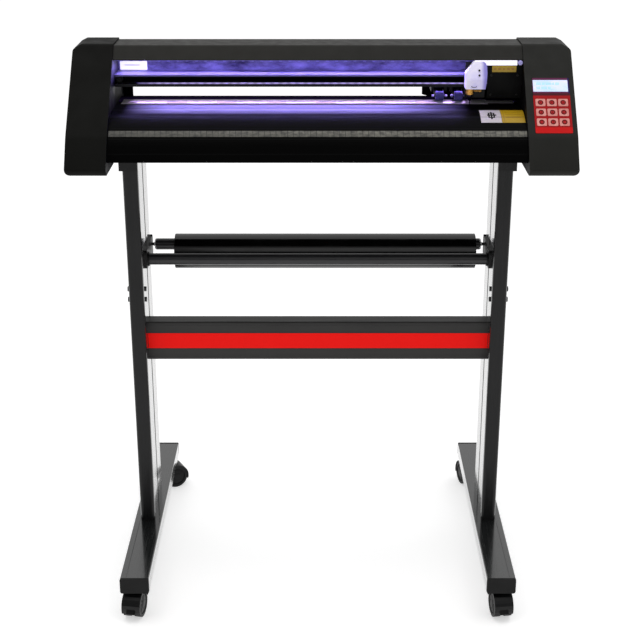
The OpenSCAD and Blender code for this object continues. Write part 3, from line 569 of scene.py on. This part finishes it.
LOOKS = {
    "extrusion_y": anodised("extrusion_along_y", srgb(22, 24, 24), "y", 0.2, 0.6, 1.0),
    "extrusion_z": leg_finish(),
    "extrusion_x": anodised("extrusion_along_x", srgb(46, 45, 44), "x", 0.36, 0.25),
    "bracket_black": painted("bracket_paint", srgb(14, 14, 14), 0.4, 0.25),
    "end_cap_black": moulded("end_cap_plastic", srgb(14, 14, 14), 0.5, specular=0.2),
    "castor_black": moulded("castor_plastic", srgb(10, 10, 11), 0.35, specular=0.3),
    "castor_tread": rubber("castor_rubber", srgb(11, 11, 12), 0.5),
    "rod_grey": anodised("rod_paint", srgb(34, 34, 36), "x", 0.28, 0.4),
    "pin_steel": metal("pin_steel", (0.66, 0.66, 0.68, 1.0), 0.25, "x"),
    "roll_core": moulded("roll_core_plastic", srgb(4, 4, 4), 0.12, 200.0, 0.00002, 0.5),
    "bolt_black": painted("bolt_black", srgb(16, 16, 16), 0.35, 0.3),
    "cover_plastic": moulded("cover_plastic", srgb(32, 32, 29), 0.5, specular=0.16),
    # Painted shade: the left end cover is the same plastic as the right one, made darker.
    "cover_left_painted_shade": moulded("cover_plastic_left_painted_shade", srgb(17, 17, 15), 0.5, specular=0.07),
    "cover_metal": painted("cover_paint", srgb(30, 29, 25), 0.42, 0.17),
    "apron_black": apron_finish(),
    "apron_rear": rear_apron_finish(),
    "sheet_black": painted("sheet_paint", srgb(8, 8, 8), 0.5, 0.1),
    "frame_black": frame_finish(),
    "beam_aluminium": beam_finish(),
    "roller_steel": roller_finish(),
    "bearing_steel": metal("bearing_steel", (0.62, 0.62, 0.64, 1.0), 0.2),
    "gear_plastic": moulded("gear_plastic", srgb(225, 222, 214), 0.4, 600.0),
    "motor_black": painted("motor_paint", srgb(18, 18, 19), 0.4, 0.3),
    "pulley_black": moulded("pulley_plastic", srgb(14, 14, 16), 0.4, specular=0.2),
    "belt_rubber": rubber("belt_rubber", srgb(10, 10, 11), 0.65),
    "carriage_black": moulded("carriage_plastic", srgb(14, 14, 17), 0.4, specular=0.2),
    "carriage_white": carriage_finish(),
    "brass": brass_finish(),
    "pinch_plastic": moulded("pinch_plastic", srgb(14, 14, 18), 0.35, specular=0.25),
    # The pinch wheels' lavender is the lamp's light painted into the rubber.
    "pinch_rubber": rubber("pinch_rubber", srgb(84, 82, 150), 0.45),
    "lamp_strip": lamp_lit("lamp_board", srgb(120, 108, 210), 0.25),
    "panel_red": panel_finish(),
    "display": display_finish(),
    "key_pink": key_finish(),
    "circuit_board": board_finish(),
    "switch_black": moulded("switch_plastic", srgb(8, 8, 8), 0.25),
    "connector_black": moulded("connector_plastic", srgb(16, 16, 16), 0.45, specular=0.3),
    # The stripe's red glow is painted light; the film is no lamp.
    "stripe": printed("stripe_film", srgb(240, 18, 12), 0.45, 0.06, 0.0, 0.1, 0.16, srgb(250, 10, 8)),
    # Dark strips as painted shade in the crossbar's grooves.
    "stripe_groove": moulded("groove_black", srgb(12, 12, 13), 0.5),
    # Painted shade in grooves and vents, drawn as flat dark strips; the sticker's mark uses it as ink.
    "groove": moulded("groove_shadow", srgb(8, 8, 9), 0.55, specular=0.1),
    "ridge": painted("ridge_grey", srgb(28, 27, 36), 0.4, 0.1),
    "ruler": ruler_finish(),
    # Painted reflection of the lamp: near-white with a lavender tint on the slot's trims.
    "slot_trim": painted("trim_painted_reflection", srgb(232, 224, 240), 0.3, 0.3),
    "lip_trim": trim_finish(),
    "lamp_chips": lamp_lit("lamp_glow", srgb(150, 138, 235), 0.5),
    # The cable guide's glow is painted light; it is no lamp.
    "guide_white": lamp_lit("guide_white", srgb(246, 242, 255), 0.7),
    # Lavender is the lamp's light painted onto white and steel parts: the pinch wheels' rims and pins and the
    # cable guide's end.
    "lavender": moulded("lavender_plastic", srgb(176, 170, 236), 0.35),
    "hub_grey": moulded("castor_hub_plastic", srgb(14, 14, 15), 0.45, specular=0.2),
    "symbol": printed("key_symbol_ink", srgb(110, 12, 18), 0.45, coat=0.0, specular=0.1),
    "symbol_centre": printed("key_symbol_centre", srgb(206, 40, 44), 0.45, coat=0.0, specular=0.1),
    "display_ink": lamp_lit("display_ink", srgb(150, 206, 224), 0.62),
    "sticker_white": printed("sticker_white_film", srgb(214, 206, 210), 0.42),
    "sticker_yellow": printed("sticker_yellow_film", srgb(192, 154, 16), 0.42),
    "sticker_ink": printed("sticker_ink", srgb(150, 108, 24), 0.4),
    # The white label's glow is painted light; it is no lamp.
    "label_white": lamp_lit("white_label", srgb(250, 250, 252), 0.75),
    "label_grey": printed("label_grey", srgb(176, 180, 186), 0.4),
    "label_yellow": printed("yellow_label", srgb(198, 164, 52), 0.42),
    "label_brown": printed("label_brown", srgb(176, 120, 60), 0.42),
}


# ---- Mesh shapes ----

def ring(part, radius, height, steps):
    """Loop of vertices round z."""
    angles = [2 * math.pi * k / steps for k in range(steps)]
    return [part.verts.new((radius * math.cos(a), radius * math.sin(a), height)) for a in angles]


def skin(part, lower, upper):
    """Faces between two loops of as many vertices."""
    for i in range(len(lower)):
        j = (i + 1) % len(lower)
        part.faces.new((lower[i], lower[j], upper[j], upper[i]))


class Shape:
    """Mesh of one visible piece, put together from outlines drawn out and profiles turned."""

    def __init__(self):
        self.bm = bmesh.new()

    def added(self, part, place, bevel):
        if bevel:
            limit = math.radians(40)
            sharp = [e for e in part.edges if e.is_manifold and e.calc_face_angle(0.0) > limit]
            bmesh.ops.bevel(part, geom=sharp, offset=bevel, segments=2, profile=0.5, affect="EDGES",
                            clamp_overlap=True)
        bmesh.ops.recalc_face_normals(part, faces=part.faces)
        part.transform(place)
        if place.determinant() < 0:
            bmesh.ops.reverse_faces(part, faces=part.faces)
        mesh = bpy.data.meshes.new("part")
        part.to_mesh(mesh)
        part.free()
        self.bm.from_mesh(mesh)
        bpy.data.meshes.remove(mesh)
        return self

    def prism(self, outline, start, end, place=Matrix.Identity(4), bevel=0.0):
        """Outline in x and y, drawn out along z."""
        part = bmesh.new()
        low = [part.verts.new((x, y, start)) for x, y in outline]
        high = [part.verts.new((x, y, end)) for x, y in outline]
        part.faces.new(reversed(low))
        part.faces.new(high)
        skin(part, low, high)
        return self.added(part, place, bevel)

    def turned(self, profile, place=Matrix.Identity(4), steps=32):
        """Profile of (radius, height) turned about z, closed by flat ends."""
        part = bmesh.new()
        rings = [ring(part, radius, height, steps) for radius, height in profile]
        part.faces.new(reversed(rings[0]))
        part.faces.new(rings[-1])
        for lower, upper in zip(rings, rings[1:]):
            skin(part, lower, upper)
        return self.added(part, place, 0.0)

    def washer(self, inner, outer, start, end, place=Matrix.Identity(4), steps=32, bevel=0.0):
        """Flat ring about z."""
        part = bmesh.new()
        corners = [(inner, start), (outer, start), (outer, end), (inner, end)]
        rings = [ring(part, radius, height, steps) for radius, height in corners]
        for lower, upper in zip(rings, rings[1:] + rings[:1]):
            skin(part, lower, upper)
        return self.added(part, place, bevel)

    def finish(self, name, look, body, slot):
        """One piece from all that was added, which rides on a body of the frame."""
        mesh = bpy.data.meshes.new(name)
        self.bm.to_mesh(mesh)
        self.bm.free()
        mesh.materials.append(LOOKS[look])
        mesh.shade_smooth()
        mesh.set_sharp_from_angle(angle=math.radians(35))
        obj = bpy.data.objects.new(name, mesh)
        bpy.context.scene.collection.objects.link(obj)
        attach(obj, body)


def box_outline(width, height, radius=0.0, steps=4):
    """Rectangle about the origin, rounded if a radius is given."""
    if radius == 0.0:
        w, h = width / 2, height / 2
        return [(-w, -h), (w, -h), (w, h), (-w, h)]
    points = []
    for k, (sx, sy) in enumerate(((1, 1), (-1, 1), (-1, -1), (1, -1))):
        for i in range(steps + 1):
            a = math.pi / 2 * (k + i / steps)
            points.append((sx * (width / 2 - radius) + radius * math.cos(a),
                           sy * (height / 2 - radius) + radius * math.sin(a)))
    return points


def screw_heads(places, radius, height):
    """A domed screw head on each place, with a raised cross."""
    shape = Shape()
    for place in places:
        shape.turned([(radius, 0.0), (radius, height * 0.4), (radius * 0.9, height * 0.85),
                      (radius * 0.6, height)], place, 20)
        for turn in (0.0, math.pi / 2):
            shape.prism(box_outline(radius * 0.9, radius * 0.22), height * 0.95, height * 1.03,
                        place @ Matrix.Rotation(turn, 4, "Z"))
    return shape


# ---- CAD nodes ----

SPECIAL_LOOKS = {
    "left_foot": "extrusion_y",
    "right_foot": "extrusion_y",
    "left_leg": "extrusion_z",
    "right_leg": "extrusion_z",
    "crossbar": "extrusion_x",
    "side_frames": "frame_black",
    # The left end cover takes the darker copy of the cover plastic as painted shade.
    "left_end_cover": "cover_left_painted_shade",
    "rear_apron": "apron_rear",
}


def dress_nodes():
    """Every carried-over CAD node takes its slot's finish, or its own one."""
    slots = {part["node"]: part["material_slot"] for part in frame["record"]["subparts"]}
    for name, obj in frame["nodes"].items():
        obj.data.materials.clear()
        obj.data.materials.append(LOOKS[SPECIAL_LOOKS.get(name, slots[name])])


# ---- Stand details ----

STRIPE_HEIGHT = 0.031
STRIPE_RISE = 0.0005
STRIPE_INSET = 0.0003
BAR_GROOVE_WIDTH = 0.0012
BAR_GROOVE_INSET = 0.0065
BAR_GROOVE_OFFSET = 0.0172


def crossbar_stripe():
    """Red film along the crossbar's front, and dark strips above and below it as painted shade in its grooves."""
    low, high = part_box("crossbar")
    x = (low.x + high.x) / 2
    middle = (low.z + high.z) / 2 + STRIPE_RISE
    width = high.x - low.x - 2 * STRIPE_INSET
    stripe = Shape()
    stripe.prism(box_outline(width, STRIPE_HEIGHT), 0.0, 0.0004, at(x, low.y, middle, TO_FRONT))
    stripe.finish("crossbar_stripe", "stripe", "root", "panel_red")
    grooves = Shape()
    for z in (low.z + BAR_GROOVE_INSET, high.z - BAR_GROOVE_INSET,
              middle - BAR_GROOVE_OFFSET, middle + BAR_GROOVE_OFFSET):
        grooves.prism(box_outline(width, BAR_GROOVE_WIDTH), 0.0, 0.0003, at(x, low.y, z, TO_FRONT))
    grooves.finish("crossbar_groove_shade", "stripe_groove", "root", "bracket_black")


SPOKE_COUNT = 5
SPOKE_AT = 0.0128
TREAD_RADIUS = 0.0250


def castor_details(corner):
    """Hub discs with short spokes on the wheels' outer faces, and a line round each tread's edge."""
    wheels = corner + "_wheels"
    joint = next(j for j in frame["joints"] if j["name"] == corner + "_roll")
    axis = Vector(joint["axis"]).normalized()
    turned = Matrix.Translation(joint["pos_m"]) @ axis.to_track_quat("Z", "Y").to_matrix().to_4x4()
    hubs, treads = Shape(), Shape()
    for turn in (0.0, math.pi):
        place = turned @ Matrix.Rotation(turn, 4, "X")
        hubs.turned([(0.0185, 0.0144), (0.0185, 0.0152), (0.0172, 0.0161), (0.0085, 0.0161),
                     (0.0078, 0.0168), (0.0040, 0.0174)], place)
        for k in range(SPOKE_COUNT):
            spoke = place @ Matrix.Rotation(2 * math.pi * k / SPOKE_COUNT, 4, "Z")
            hubs.prism(box_outline(0.0085, 0.0022, 0.0008), 0.0160, 0.0165,
                       spoke @ Matrix.Translation((SPOKE_AT, 0, 0)))
        treads.washer(TREAD_RADIUS - 0.0014, TREAD_RADIUS, 0.0105, 0.0111, place, 48)
    hubs.finish(corner + "_hubs", "hub_grey", wheels, "castor_black")
    treads.finish(corner + "_tread_lines", "castor_black", wheels, "castor_tread")


ROLL_INNER = 0.0256
ROLL_OUTER = 0.0338
REAR_ROD_Y = 0.054
REAR_ROD_Z = 0.634
ROD_COLLAR_INNER = 0.0031
ROD_COLLAR_OUTER = 0.0106
ROD_COLLARS_X = (-0.3232, 0.3092)


def facing_out(x, y, z, side):
    """Place whose z points along the cutter, to the left for side 0 and to the right for side 1."""
    return at(x, y, z, ALONG_X @ Matrix.Rotation(math.pi * (1 - side), 4, "X"))


def roll_holder_details():
    """Rings on the roll's ends, and collars at the ends of the rear rod."""
    low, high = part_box("media_roll")
    middle_y, middle_z = (low.y + high.y) / 2, (low.z + high.z) / 2
    ends = Shape()
    for side, x in enumerate((low.x, high.x)):
        ends.washer(ROLL_INNER, ROLL_OUTER, -0.0005, 0.0006, facing_out(x, middle_y, middle_z, side),
                    48, 0.0002)
    ends.finish("roll_end_rings", "rod_grey", "media_roll", "rod_grey")
    collars = Shape()
    for side, x in enumerate(ROD_COLLARS_X):
        place = facing_out(x, REAR_ROD_Y, REAR_ROD_Z, side)
        collars.washer(ROD_COLLAR_INNER, ROD_COLLAR_OUTER, 0.0, 0.0008, place, 40, 0.0002)
        collars.turned([(0.0042, 0.0008), (0.0042, 0.0024), (0.0034, 0.0034),
                        (ROD_COLLAR_INNER, 0.0036)], place)
    collars.finish("rod_end_collars", "pin_steel", "root", "bearing_steel")


# ---- Apron and platen ----

APRON_CENTRE = Vector((0.0, -0.095, 0.838))
APRON_RADIUS = 0.092
RULER_ANGLES = (131.4, 138.8)
APRON_GROOVES = (94.2, 97.4, 128.6, 141.4, 158.0)
RIDGE_ANGLE = 109.2
PLATEN_GROOVES_Y = (-0.0505, -0.0782)


def arc_strip(shape, low_x, high_x, start, end, lift, thick, steps=10):
    """Thin strip that follows the apron's arc between two angles in degrees."""
    def point(a, r):
        return (APRON_CENTRE.y + r * math.cos(a), APRON_CENTRE.z + r * math.sin(a))
    angles = [math.radians(start + (end - start) * k / steps) for k in range(steps + 1)]
    outer = [point(a, APRON_RADIUS + lift + thick) for a in angles]
    inner = [point(a, APRON_RADIUS + lift) for a in reversed(angles)]
    return shape.prism(outer + inner, low_x, high_x, ALONG_X)


def apron_details():
    """Scale strip, dark strips as painted shade in the grooves round the apron's front, a ridge, and painted
    groove shade along the platen.
    """
    low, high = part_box("front_apron")
    strip = arc_strip(Shape(), low.x + 0.001, high.x - 0.001, *RULER_ANGLES, 0.0, 0.0003)
    strip.finish("ruler_strip", "ruler", "root", "lamp_strip")
    grooves = Shape()
    for angle in APRON_GROOVES:
        arc_strip(grooves, low.x, high.x, angle, angle + 0.45, 0.0, 0.00015, 2)
    grooves.finish("apron_groove_shade", "groove", "root", "apron_black")
    ridge = arc_strip(Shape(), low.x, high.x, RIDGE_ANGLE, RIDGE_ANGLE + 0.6, 0.0, 0.0002, 2)
    ridge.finish("apron_ridge", "ridge", "root", "apron_black")
    lines = Shape()
    for y in PLATEN_GROOVES_Y:
        lines.prism(box_outline(high.x - low.x, 0.0011), 0.0, 0.0003, at((low.x + high.x) / 2, y, high.z))
    lines.finish("platen_groove_shade", "groove", "root", "apron_black")


SLOT_TRIM_X = (-0.362, 0.300)
REAR_TRIM_WIDTH = 0.0082
FRONT_TRIM_WIDTH = 0.0062


def roller_trims():
    """Strips along both sides of the roller's slot, near-white with a lavender tint as a painted reflection of the
    lamp.
    """
    slot_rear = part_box("rear_apron")[0].y
    slot_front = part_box("front_apron")[1].y
    top = PLATEN_Z + 0.00035
    trims = Shape()
    for start, end in ((slot_rear, slot_rear + REAR_TRIM_WIDTH), (slot_front - FRONT_TRIM_WIDTH, slot_front)):
        trims.prism([(start, PLATEN_Z), (end, PLATEN_Z), (end, top), (start, top)], *SLOT_TRIM_X, ALONG_X)
    trims.finish("roller_trims", "slot_trim", "root", "roller_steel")


STICKER_X = (0.2775, 0.3140, 0.3545)
STICKER_ANGLES = (90.0, 119.5)
STICKER_THICK = 0.0002

# The mark's bars: left and right end, and the angles on the arc that they start and end at.
MARK_BARS = (
    (0.2956, 0.2984, 97.5, 113.5),
    (0.2895, 0.3055, 104.2, 106.8),
    (0.2912, 0.2938, 100.8, 110.2),
    (0.3002, 0.3028, 100.8, 110.2),
    (0.2912, 0.3028, 99.8, 101.4),
    (0.2912, 0.3028, 109.6, 111.2),
)
SEAMS_X = ((0.3136, 0.3144), (0.3180, 0.3186))
SEAM_ANGLES = (91.0, 118.5)
ROWS_X = (0.3215, 0.3480)
ROW_ANGLES = (98.0, 104.0, 110.0)


def platen_sticker():
    """Two-tone blank sticker over the platen's front edge, with a plain mark of crossed bars."""
    for k, name in enumerate(("sticker_white", "sticker_yellow")):
        half = arc_strip(Shape(), STICKER_X[k], STICKER_X[k + 1], *STICKER_ANGLES, 0.0, STICKER_THICK, 14)
        half.finish(name, name, "root", "lamp_strip")
    mark = Shape()
    for low_x, high_x, start, end in MARK_BARS:
        arc_strip(mark, low_x, high_x, start, end, STICKER_THICK, 0.00015, 6)
    mark.finish("sticker_mark", "groove", "root", "apron_black")
    lines = Shape()
    for low_x, high_x in SEAMS_X:
        arc_strip(lines, low_x, high_x, *SEAM_ANGLES, STICKER_THICK, 0.0001, 14)
    for angle in ROW_ANGLES:
        arc_strip(lines, *ROWS_X, angle, angle + 0.5, STICKER_THICK, 0.0001, 2)
    lines.finish("sticker_lines", "sticker_ink", "root", "apron_black")


# ---- Labels and lamp ----

WALL_LABEL_AT = (-0.3415, 0.0, 0.9935)
BAY_FRONT_Y = -0.053
BAY_LABEL_X = 0.3247
BAY_LABEL_Z = 0.9952
BAY_MARKS_X = 0.3087
BAY_MARK_PITCH = 0.0078
BAY_MARK_WIDTHS = (0.0042, 0.005, 0.0036, 0.0048, 0.0044)


def blank_labels():
    """White label on the beam's upright wall, and a yellow one on the bay's cover, both without words."""
    middle = at(*WALL_LABEL_AT, TO_FRONT)
    label = Shape().prism(box_outline(0.049, 0.0185, 0.0008), 0.0, 0.0002, middle)
    label.finish("wall_label", "label_white", "root", "carriage_white")
    line = Shape().prism(box_outline(0.028, 0.0016, 0.0004), 0.0002, 0.00035,
                         middle @ Matrix.Translation((-0.002, -0.001, 0.0)))
    line.finish("wall_label_line", "label_grey", "root", "carriage_white")
    bay = Shape().prism(box_outline(0.0431, 0.0112, 0.0006), 0.0, 0.0002,
                        at(BAY_LABEL_X, BAY_FRONT_Y, BAY_LABEL_Z, TO_FRONT))
    bay.finish("bay_label", "label_yellow", "root", "brass")
    marks = Shape()
    for k, width in enumerate(BAY_MARK_WIDTHS):
        marks.prism(box_outline(width, 0.0024, 0.0006), 0.0002, 0.00032,
                    at(BAY_MARKS_X + BAY_MARK_PITCH * k, BAY_FRONT_Y, BAY_LABEL_Z, TO_FRONT))
    marks.finish("bay_label_marks", "label_brown", "root", "brass")


CHIP_PITCH = 0.0166
CHIP_SIZE = 0.0050


def lamp_chips():
    """Row of light-emitting chips along the lamp's board."""
    low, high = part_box("led_strip")
    y = (low.y + high.y) / 2
    chips = Shape()
    for k in range(int((high.x - low.x - 0.01) / CHIP_PITCH)):
        chips.prism(box_outline(CHIP_SIZE, CHIP_SIZE, 0.0006), 0.0, 0.0009,
                    at(low.x + 0.012 + CHIP_PITCH * k, y, low.z, Matrix.Rotation(math.pi, 4, "X")))
    chips.finish("lamp_chips", "lamp_chips", "root", "lamp_strip")


LIP_TRIM_LEFT = -0.330


def lip_trim():
    """Strip on the beam's lower lip that guides the belt; the lamp's light on it is painted into its finish."""
    low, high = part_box("carriage_beam")
    front, rear = low.y + 0.0004, low.y + 0.0018
    bottom, top = low.z + 0.0050, low.z + 0.0074
    trim = Shape().prism([(front, bottom), (rear, bottom), (rear, top), (front, top)],
                         LIP_TRIM_LEFT, high.x - 0.004, ALONG_X, 0.0003)
    trim.finish("lip_trim", "lip_trim", "root", "lamp_strip")


# ---- Carriage, pulleys and pinch rollers ----

CARRIAGE_LEAN = -0.7
CARRIAGE_SCREWS_X = 0.2778
GUIDE_AT = (0.3085, -0.0605, 1.0076)
GUIDE_END_AT = (0.3516, -0.0602, 1.0076)
ARC_DOTS = 9
ARC_X = 0.2686
ARC_Z = 0.9708
ARC_HALF_WIDTH = 0.0046
ARC_HEIGHT = 0.0018


def carriage_details():
    """Two screws and an arc of small marks on the carriage's cover, and the cable guide beside it."""
    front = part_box("carriage_cover")[0].y
    lean = TO_FRONT @ Matrix.Rotation(CARRIAGE_LEAN, 4, "X")
    screws = screw_heads([at(CARRIAGE_SCREWS_X, front + 0.0094, 0.9967, lean),
                          at(CARRIAGE_SCREWS_X, front + 0.0040, 0.9890, lean)], 0.0019, 0.0012)
    screws.finish("carriage_screws", "bolt_black", "carriage", "bolt_black")
    guide = Shape().prism(box_outline(0.075, 0.0085, 0.001), 0.0, 0.0025,
                          at(*GUIDE_AT, TO_FRONT), 0.0004)
    guide.finish("cable_guide", "guide_white", "carriage", "carriage_white")
    end = Shape().turned([(0.0043, 0.0), (0.0043, 0.003), (0.0036, 0.0042), (0.0016, 0.0046)],
                         at(*GUIDE_END_AT, TO_FRONT), 24)
    end.finish("cable_guide_end", "lavender", "carriage", "carriage_white")
    arc = Shape()
    for k in range(ARC_DOTS):
        a = math.radians(200 + 140 * k / (ARC_DOTS - 1))
        place = at(ARC_X + ARC_HALF_WIDTH * math.cos(a), front, ARC_Z + ARC_HEIGHT * math.sin(a), TO_FRONT)
        arc.prism(box_outline(0.0018, 0.0009, 0.0003), -0.0002, 0.0005,
                  place @ Matrix.Rotation(a + math.pi / 2, 4, "Z"))
    arc.finish("carriage_arc_mark", "bolt_black", "carriage", "bolt_black")


FLANGE_FACE_Y = -0.0416
FLANGE_PINS = 3
FLANGE_PIN_RADIUS = 0.004


def pulley_flanges():
    """Flat ring and three pin ends on the front of each of the belt's pulleys."""
    for node in ("drive_pulley", "idler_pulley"):
        low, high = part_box(node)
        x, z = (low.x + high.x) / 2, (low.z + high.z) / 2
        face = Shape().washer(0.0026, 0.0052, 0.0, 0.0004, at(x, FLANGE_FACE_Y, z, TO_FRONT))
        for k in range(FLANGE_PINS):
            a = 2 * math.pi * k / FLANGE_PINS
            face.turned([(0.0005, 0.0), (0.0005, 0.0006)],
                        at(x + FLANGE_PIN_RADIUS * math.cos(a), FLANGE_FACE_Y - 0.0002,
                           z + FLANGE_PIN_RADIUS * math.sin(a), TO_FRONT), 12)
        face.finish(node + "_flange", "pulley_black", node, "pulley_black")


RIM_SHIFT = 0.0070
PIN_SHIFT = 0.0138


def pinch_details():
    """Rims on both sides of each pinch wheel, and the ends of its pin."""
    for side in ("left", "right"):
        wheel = side + "_pinch_wheel"
        low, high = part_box(wheel)
        x, y, z = (low + high) / 2
        rims, pins = Shape(), Shape()
        for end, way in enumerate((-1, 1)):
            rims.washer(0.0030, 0.0070, -0.0003, 0.0003, at(x + way * RIM_SHIFT, y, z, ALONG_X))
            pins.turned([(0.0015, -0.004), (0.0022, -0.0038), (0.0022, 0.0), (0.0015, 0.0004)],
                        facing_out(x + way * PIN_SHIFT, y, z, end), 20)
        rims.finish(side + "_pinch_rims", "lavender", wheel, "pinch_rubber")
        pins.finish(side + "_pinch_pins", "lavender", wheel, "bearing_steel")


# ---- Panel ----

DISPLAY_UP = 0.103
SEGMENT_ROWS = ((5, 3, 6, 2, 4), (4, 6, 3))
SEGMENT_PITCH = 0.0017
SEGMENT_GAP = 0.0016
KEY_FACE = 0.0014
SYMBOL_LIFT = 0.00012
ARROW_TURNS = {(1, 2): 90.0, (2, 1): 180.0, (2, 3): 0.0, (3, 2): 270.0}


def display_details():
    """The display's window, and two rows of generic segments on it."""
    low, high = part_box("lcd_module")
    x = (low.x + high.x) / 2
    window = Shape().prism(box_outline(0.0606, 0.0236, 0.0006), 0.0001, 0.0004,
                           slope_place(x, DISPLAY_UP, 0.0))
    window.finish("display_window", "display", "root", "display")
    rows = Shape()
    for line, counts in enumerate(SEGMENT_ROWS):
        up = DISPLAY_UP + 0.0042 - 0.0085 * line
        start = x - 0.024
        for count in counts:
            for k in range(count):
                rows.prism(box_outline(0.0011, 0.0052), 0.0004, 0.00048,
                           slope_place(start + SEGMENT_PITCH * k, up, 0.0))
            start += SEGMENT_PITCH * count + SEGMENT_GAP
    rows.finish("display_segments", "display_ink", "root", "display")


def key_symbol(row, column):
    """Ring on a key's face with a disc in it, and an arrow, a dot, two bars or one bar on that."""
    node = f"key_{row}_{column}"
    low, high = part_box(node)
    centre = (low + high) / 2
    offset = centre - SLOPE_FOOT
    place = slope_place(centre.x, offset.y * math.cos(SLOPE) + offset.z * math.sin(SLOPE), 0.0)
    bottom, top = KEY_FACE + SYMBOL_LIFT, KEY_FACE + 2 * SYMBOL_LIFT
    symbol = Shape().washer(0.0027, 0.0048, KEY_FACE, KEY_FACE + 0.00018, place)
    if (row, column) in ARROW_TURNS:
        turn = math.radians(ARROW_TURNS[row, column])
        symbol.prism([(0.0016, 0.0), (-0.0009, 0.0013), (-0.0009, -0.0013)], bottom, top,
                     place @ Matrix.Rotation(turn, 4, "Z"))
    elif (row, column) == (2, 2):
        symbol.turned([(0.0011, bottom), (0.0011, top)], place, 20)
    else:
        for shift in ((-0.0006, 0.0006) if row == 1 else (0.0,)):
            symbol.prism(box_outline(0.0026, 0.0006), bottom, top,
                         place @ Matrix.Translation((0.0, shift, 0.0)))
    symbol.finish(node + "_symbol", "symbol", node, "panel_red")
    disc = Shape().turned([(0.0026, KEY_FACE), (0.0026, bottom)], place, 24)
    disc.finish(node + "_centre", "symbol_centre", node, "panel_red")


# ---- Covers ----

REAR_LEAN = math.radians(5.84)
REAR_FOOT_Y = 0.091
REAR_FOOT_Z = 0.858
COVER_SCREWS_Z = (0.868, 0.968)
COVER_SCREW_SHIFT = 0.022
VENT_COUNT = 9
VENT_PITCH = 0.0065
VENTS_Z = 0.905
BAY_SCREWS_X = (0.302, 0.349)
BAY_SCREWS_Z = (0.949, 0.984)


def on_rear(x, z):
    """Place on the end covers' leaning rear faces."""
    y = REAR_FOOT_Y - (z - REAR_FOOT_Z) * math.tan(REAR_LEAN)
    return at(x, y, z, Matrix.Rotation(REAR_LEAN, 4, "X") @ TO_REAR)


def cover_details():
    """Screws in the rear faces of the end covers, and between them a row of vents drawn as dark plates of painted
    shade.
    """
    places, vents = [], Shape()
    for node in ("left_end_cover", "right_end_cover"):
        low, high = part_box(node)
        x = (low.x + high.x) / 2
        for shift in (-COVER_SCREW_SHIFT, COVER_SCREW_SHIFT):
            places += [on_rear(x + shift, z) for z in COVER_SCREWS_Z]
        for k in range(VENT_COUNT):
            vents.prism(box_outline(0.0028, 0.026, 0.0013), -0.0002, 0.0003,
                        on_rear(x + VENT_PITCH * (k - VENT_COUNT // 2), VENTS_Z))
    screw_heads(places, 0.0032, 0.0016).finish("end_cover_screws", "bolt_black", "root", "bolt_black")
    vents.finish("end_cover_vent_shade", "groove", "root", "cover_plastic")


def bay_screws():
    """Screws at the corners of the motor bay's cover."""
    places = [at(x, BAY_FRONT_Y, z, TO_FRONT) for x in BAY_SCREWS_X for z in BAY_SCREWS_Z]
    screw_heads(places, 0.0021, 0.0012).finish("bay_screws", "bolt_black", "root", "bolt_black")


# ---- The scene ----

make_camera()
make_world()
make_floor()
studio_lights()
lamp_lights()

dress_nodes()
crossbar_stripe()
for name in ("front_left", "front_right", "rear_left", "rear_right"):
    castor_details(name)
roll_holder_details()
apron_details()
roller_trims()
platen_sticker()
blank_labels()
lamp_chips()
lip_trim()
carriage_details()
pulley_flanges()
for number in range(9):
    key_symbol(number // 3 + 1, number % 3 + 1)
display_details()
cover_details()
bay_screws()
pinch_details()

bpy.context.scene.view_settings.view_transform = "Standard"
bpy.context.view_layer.update()
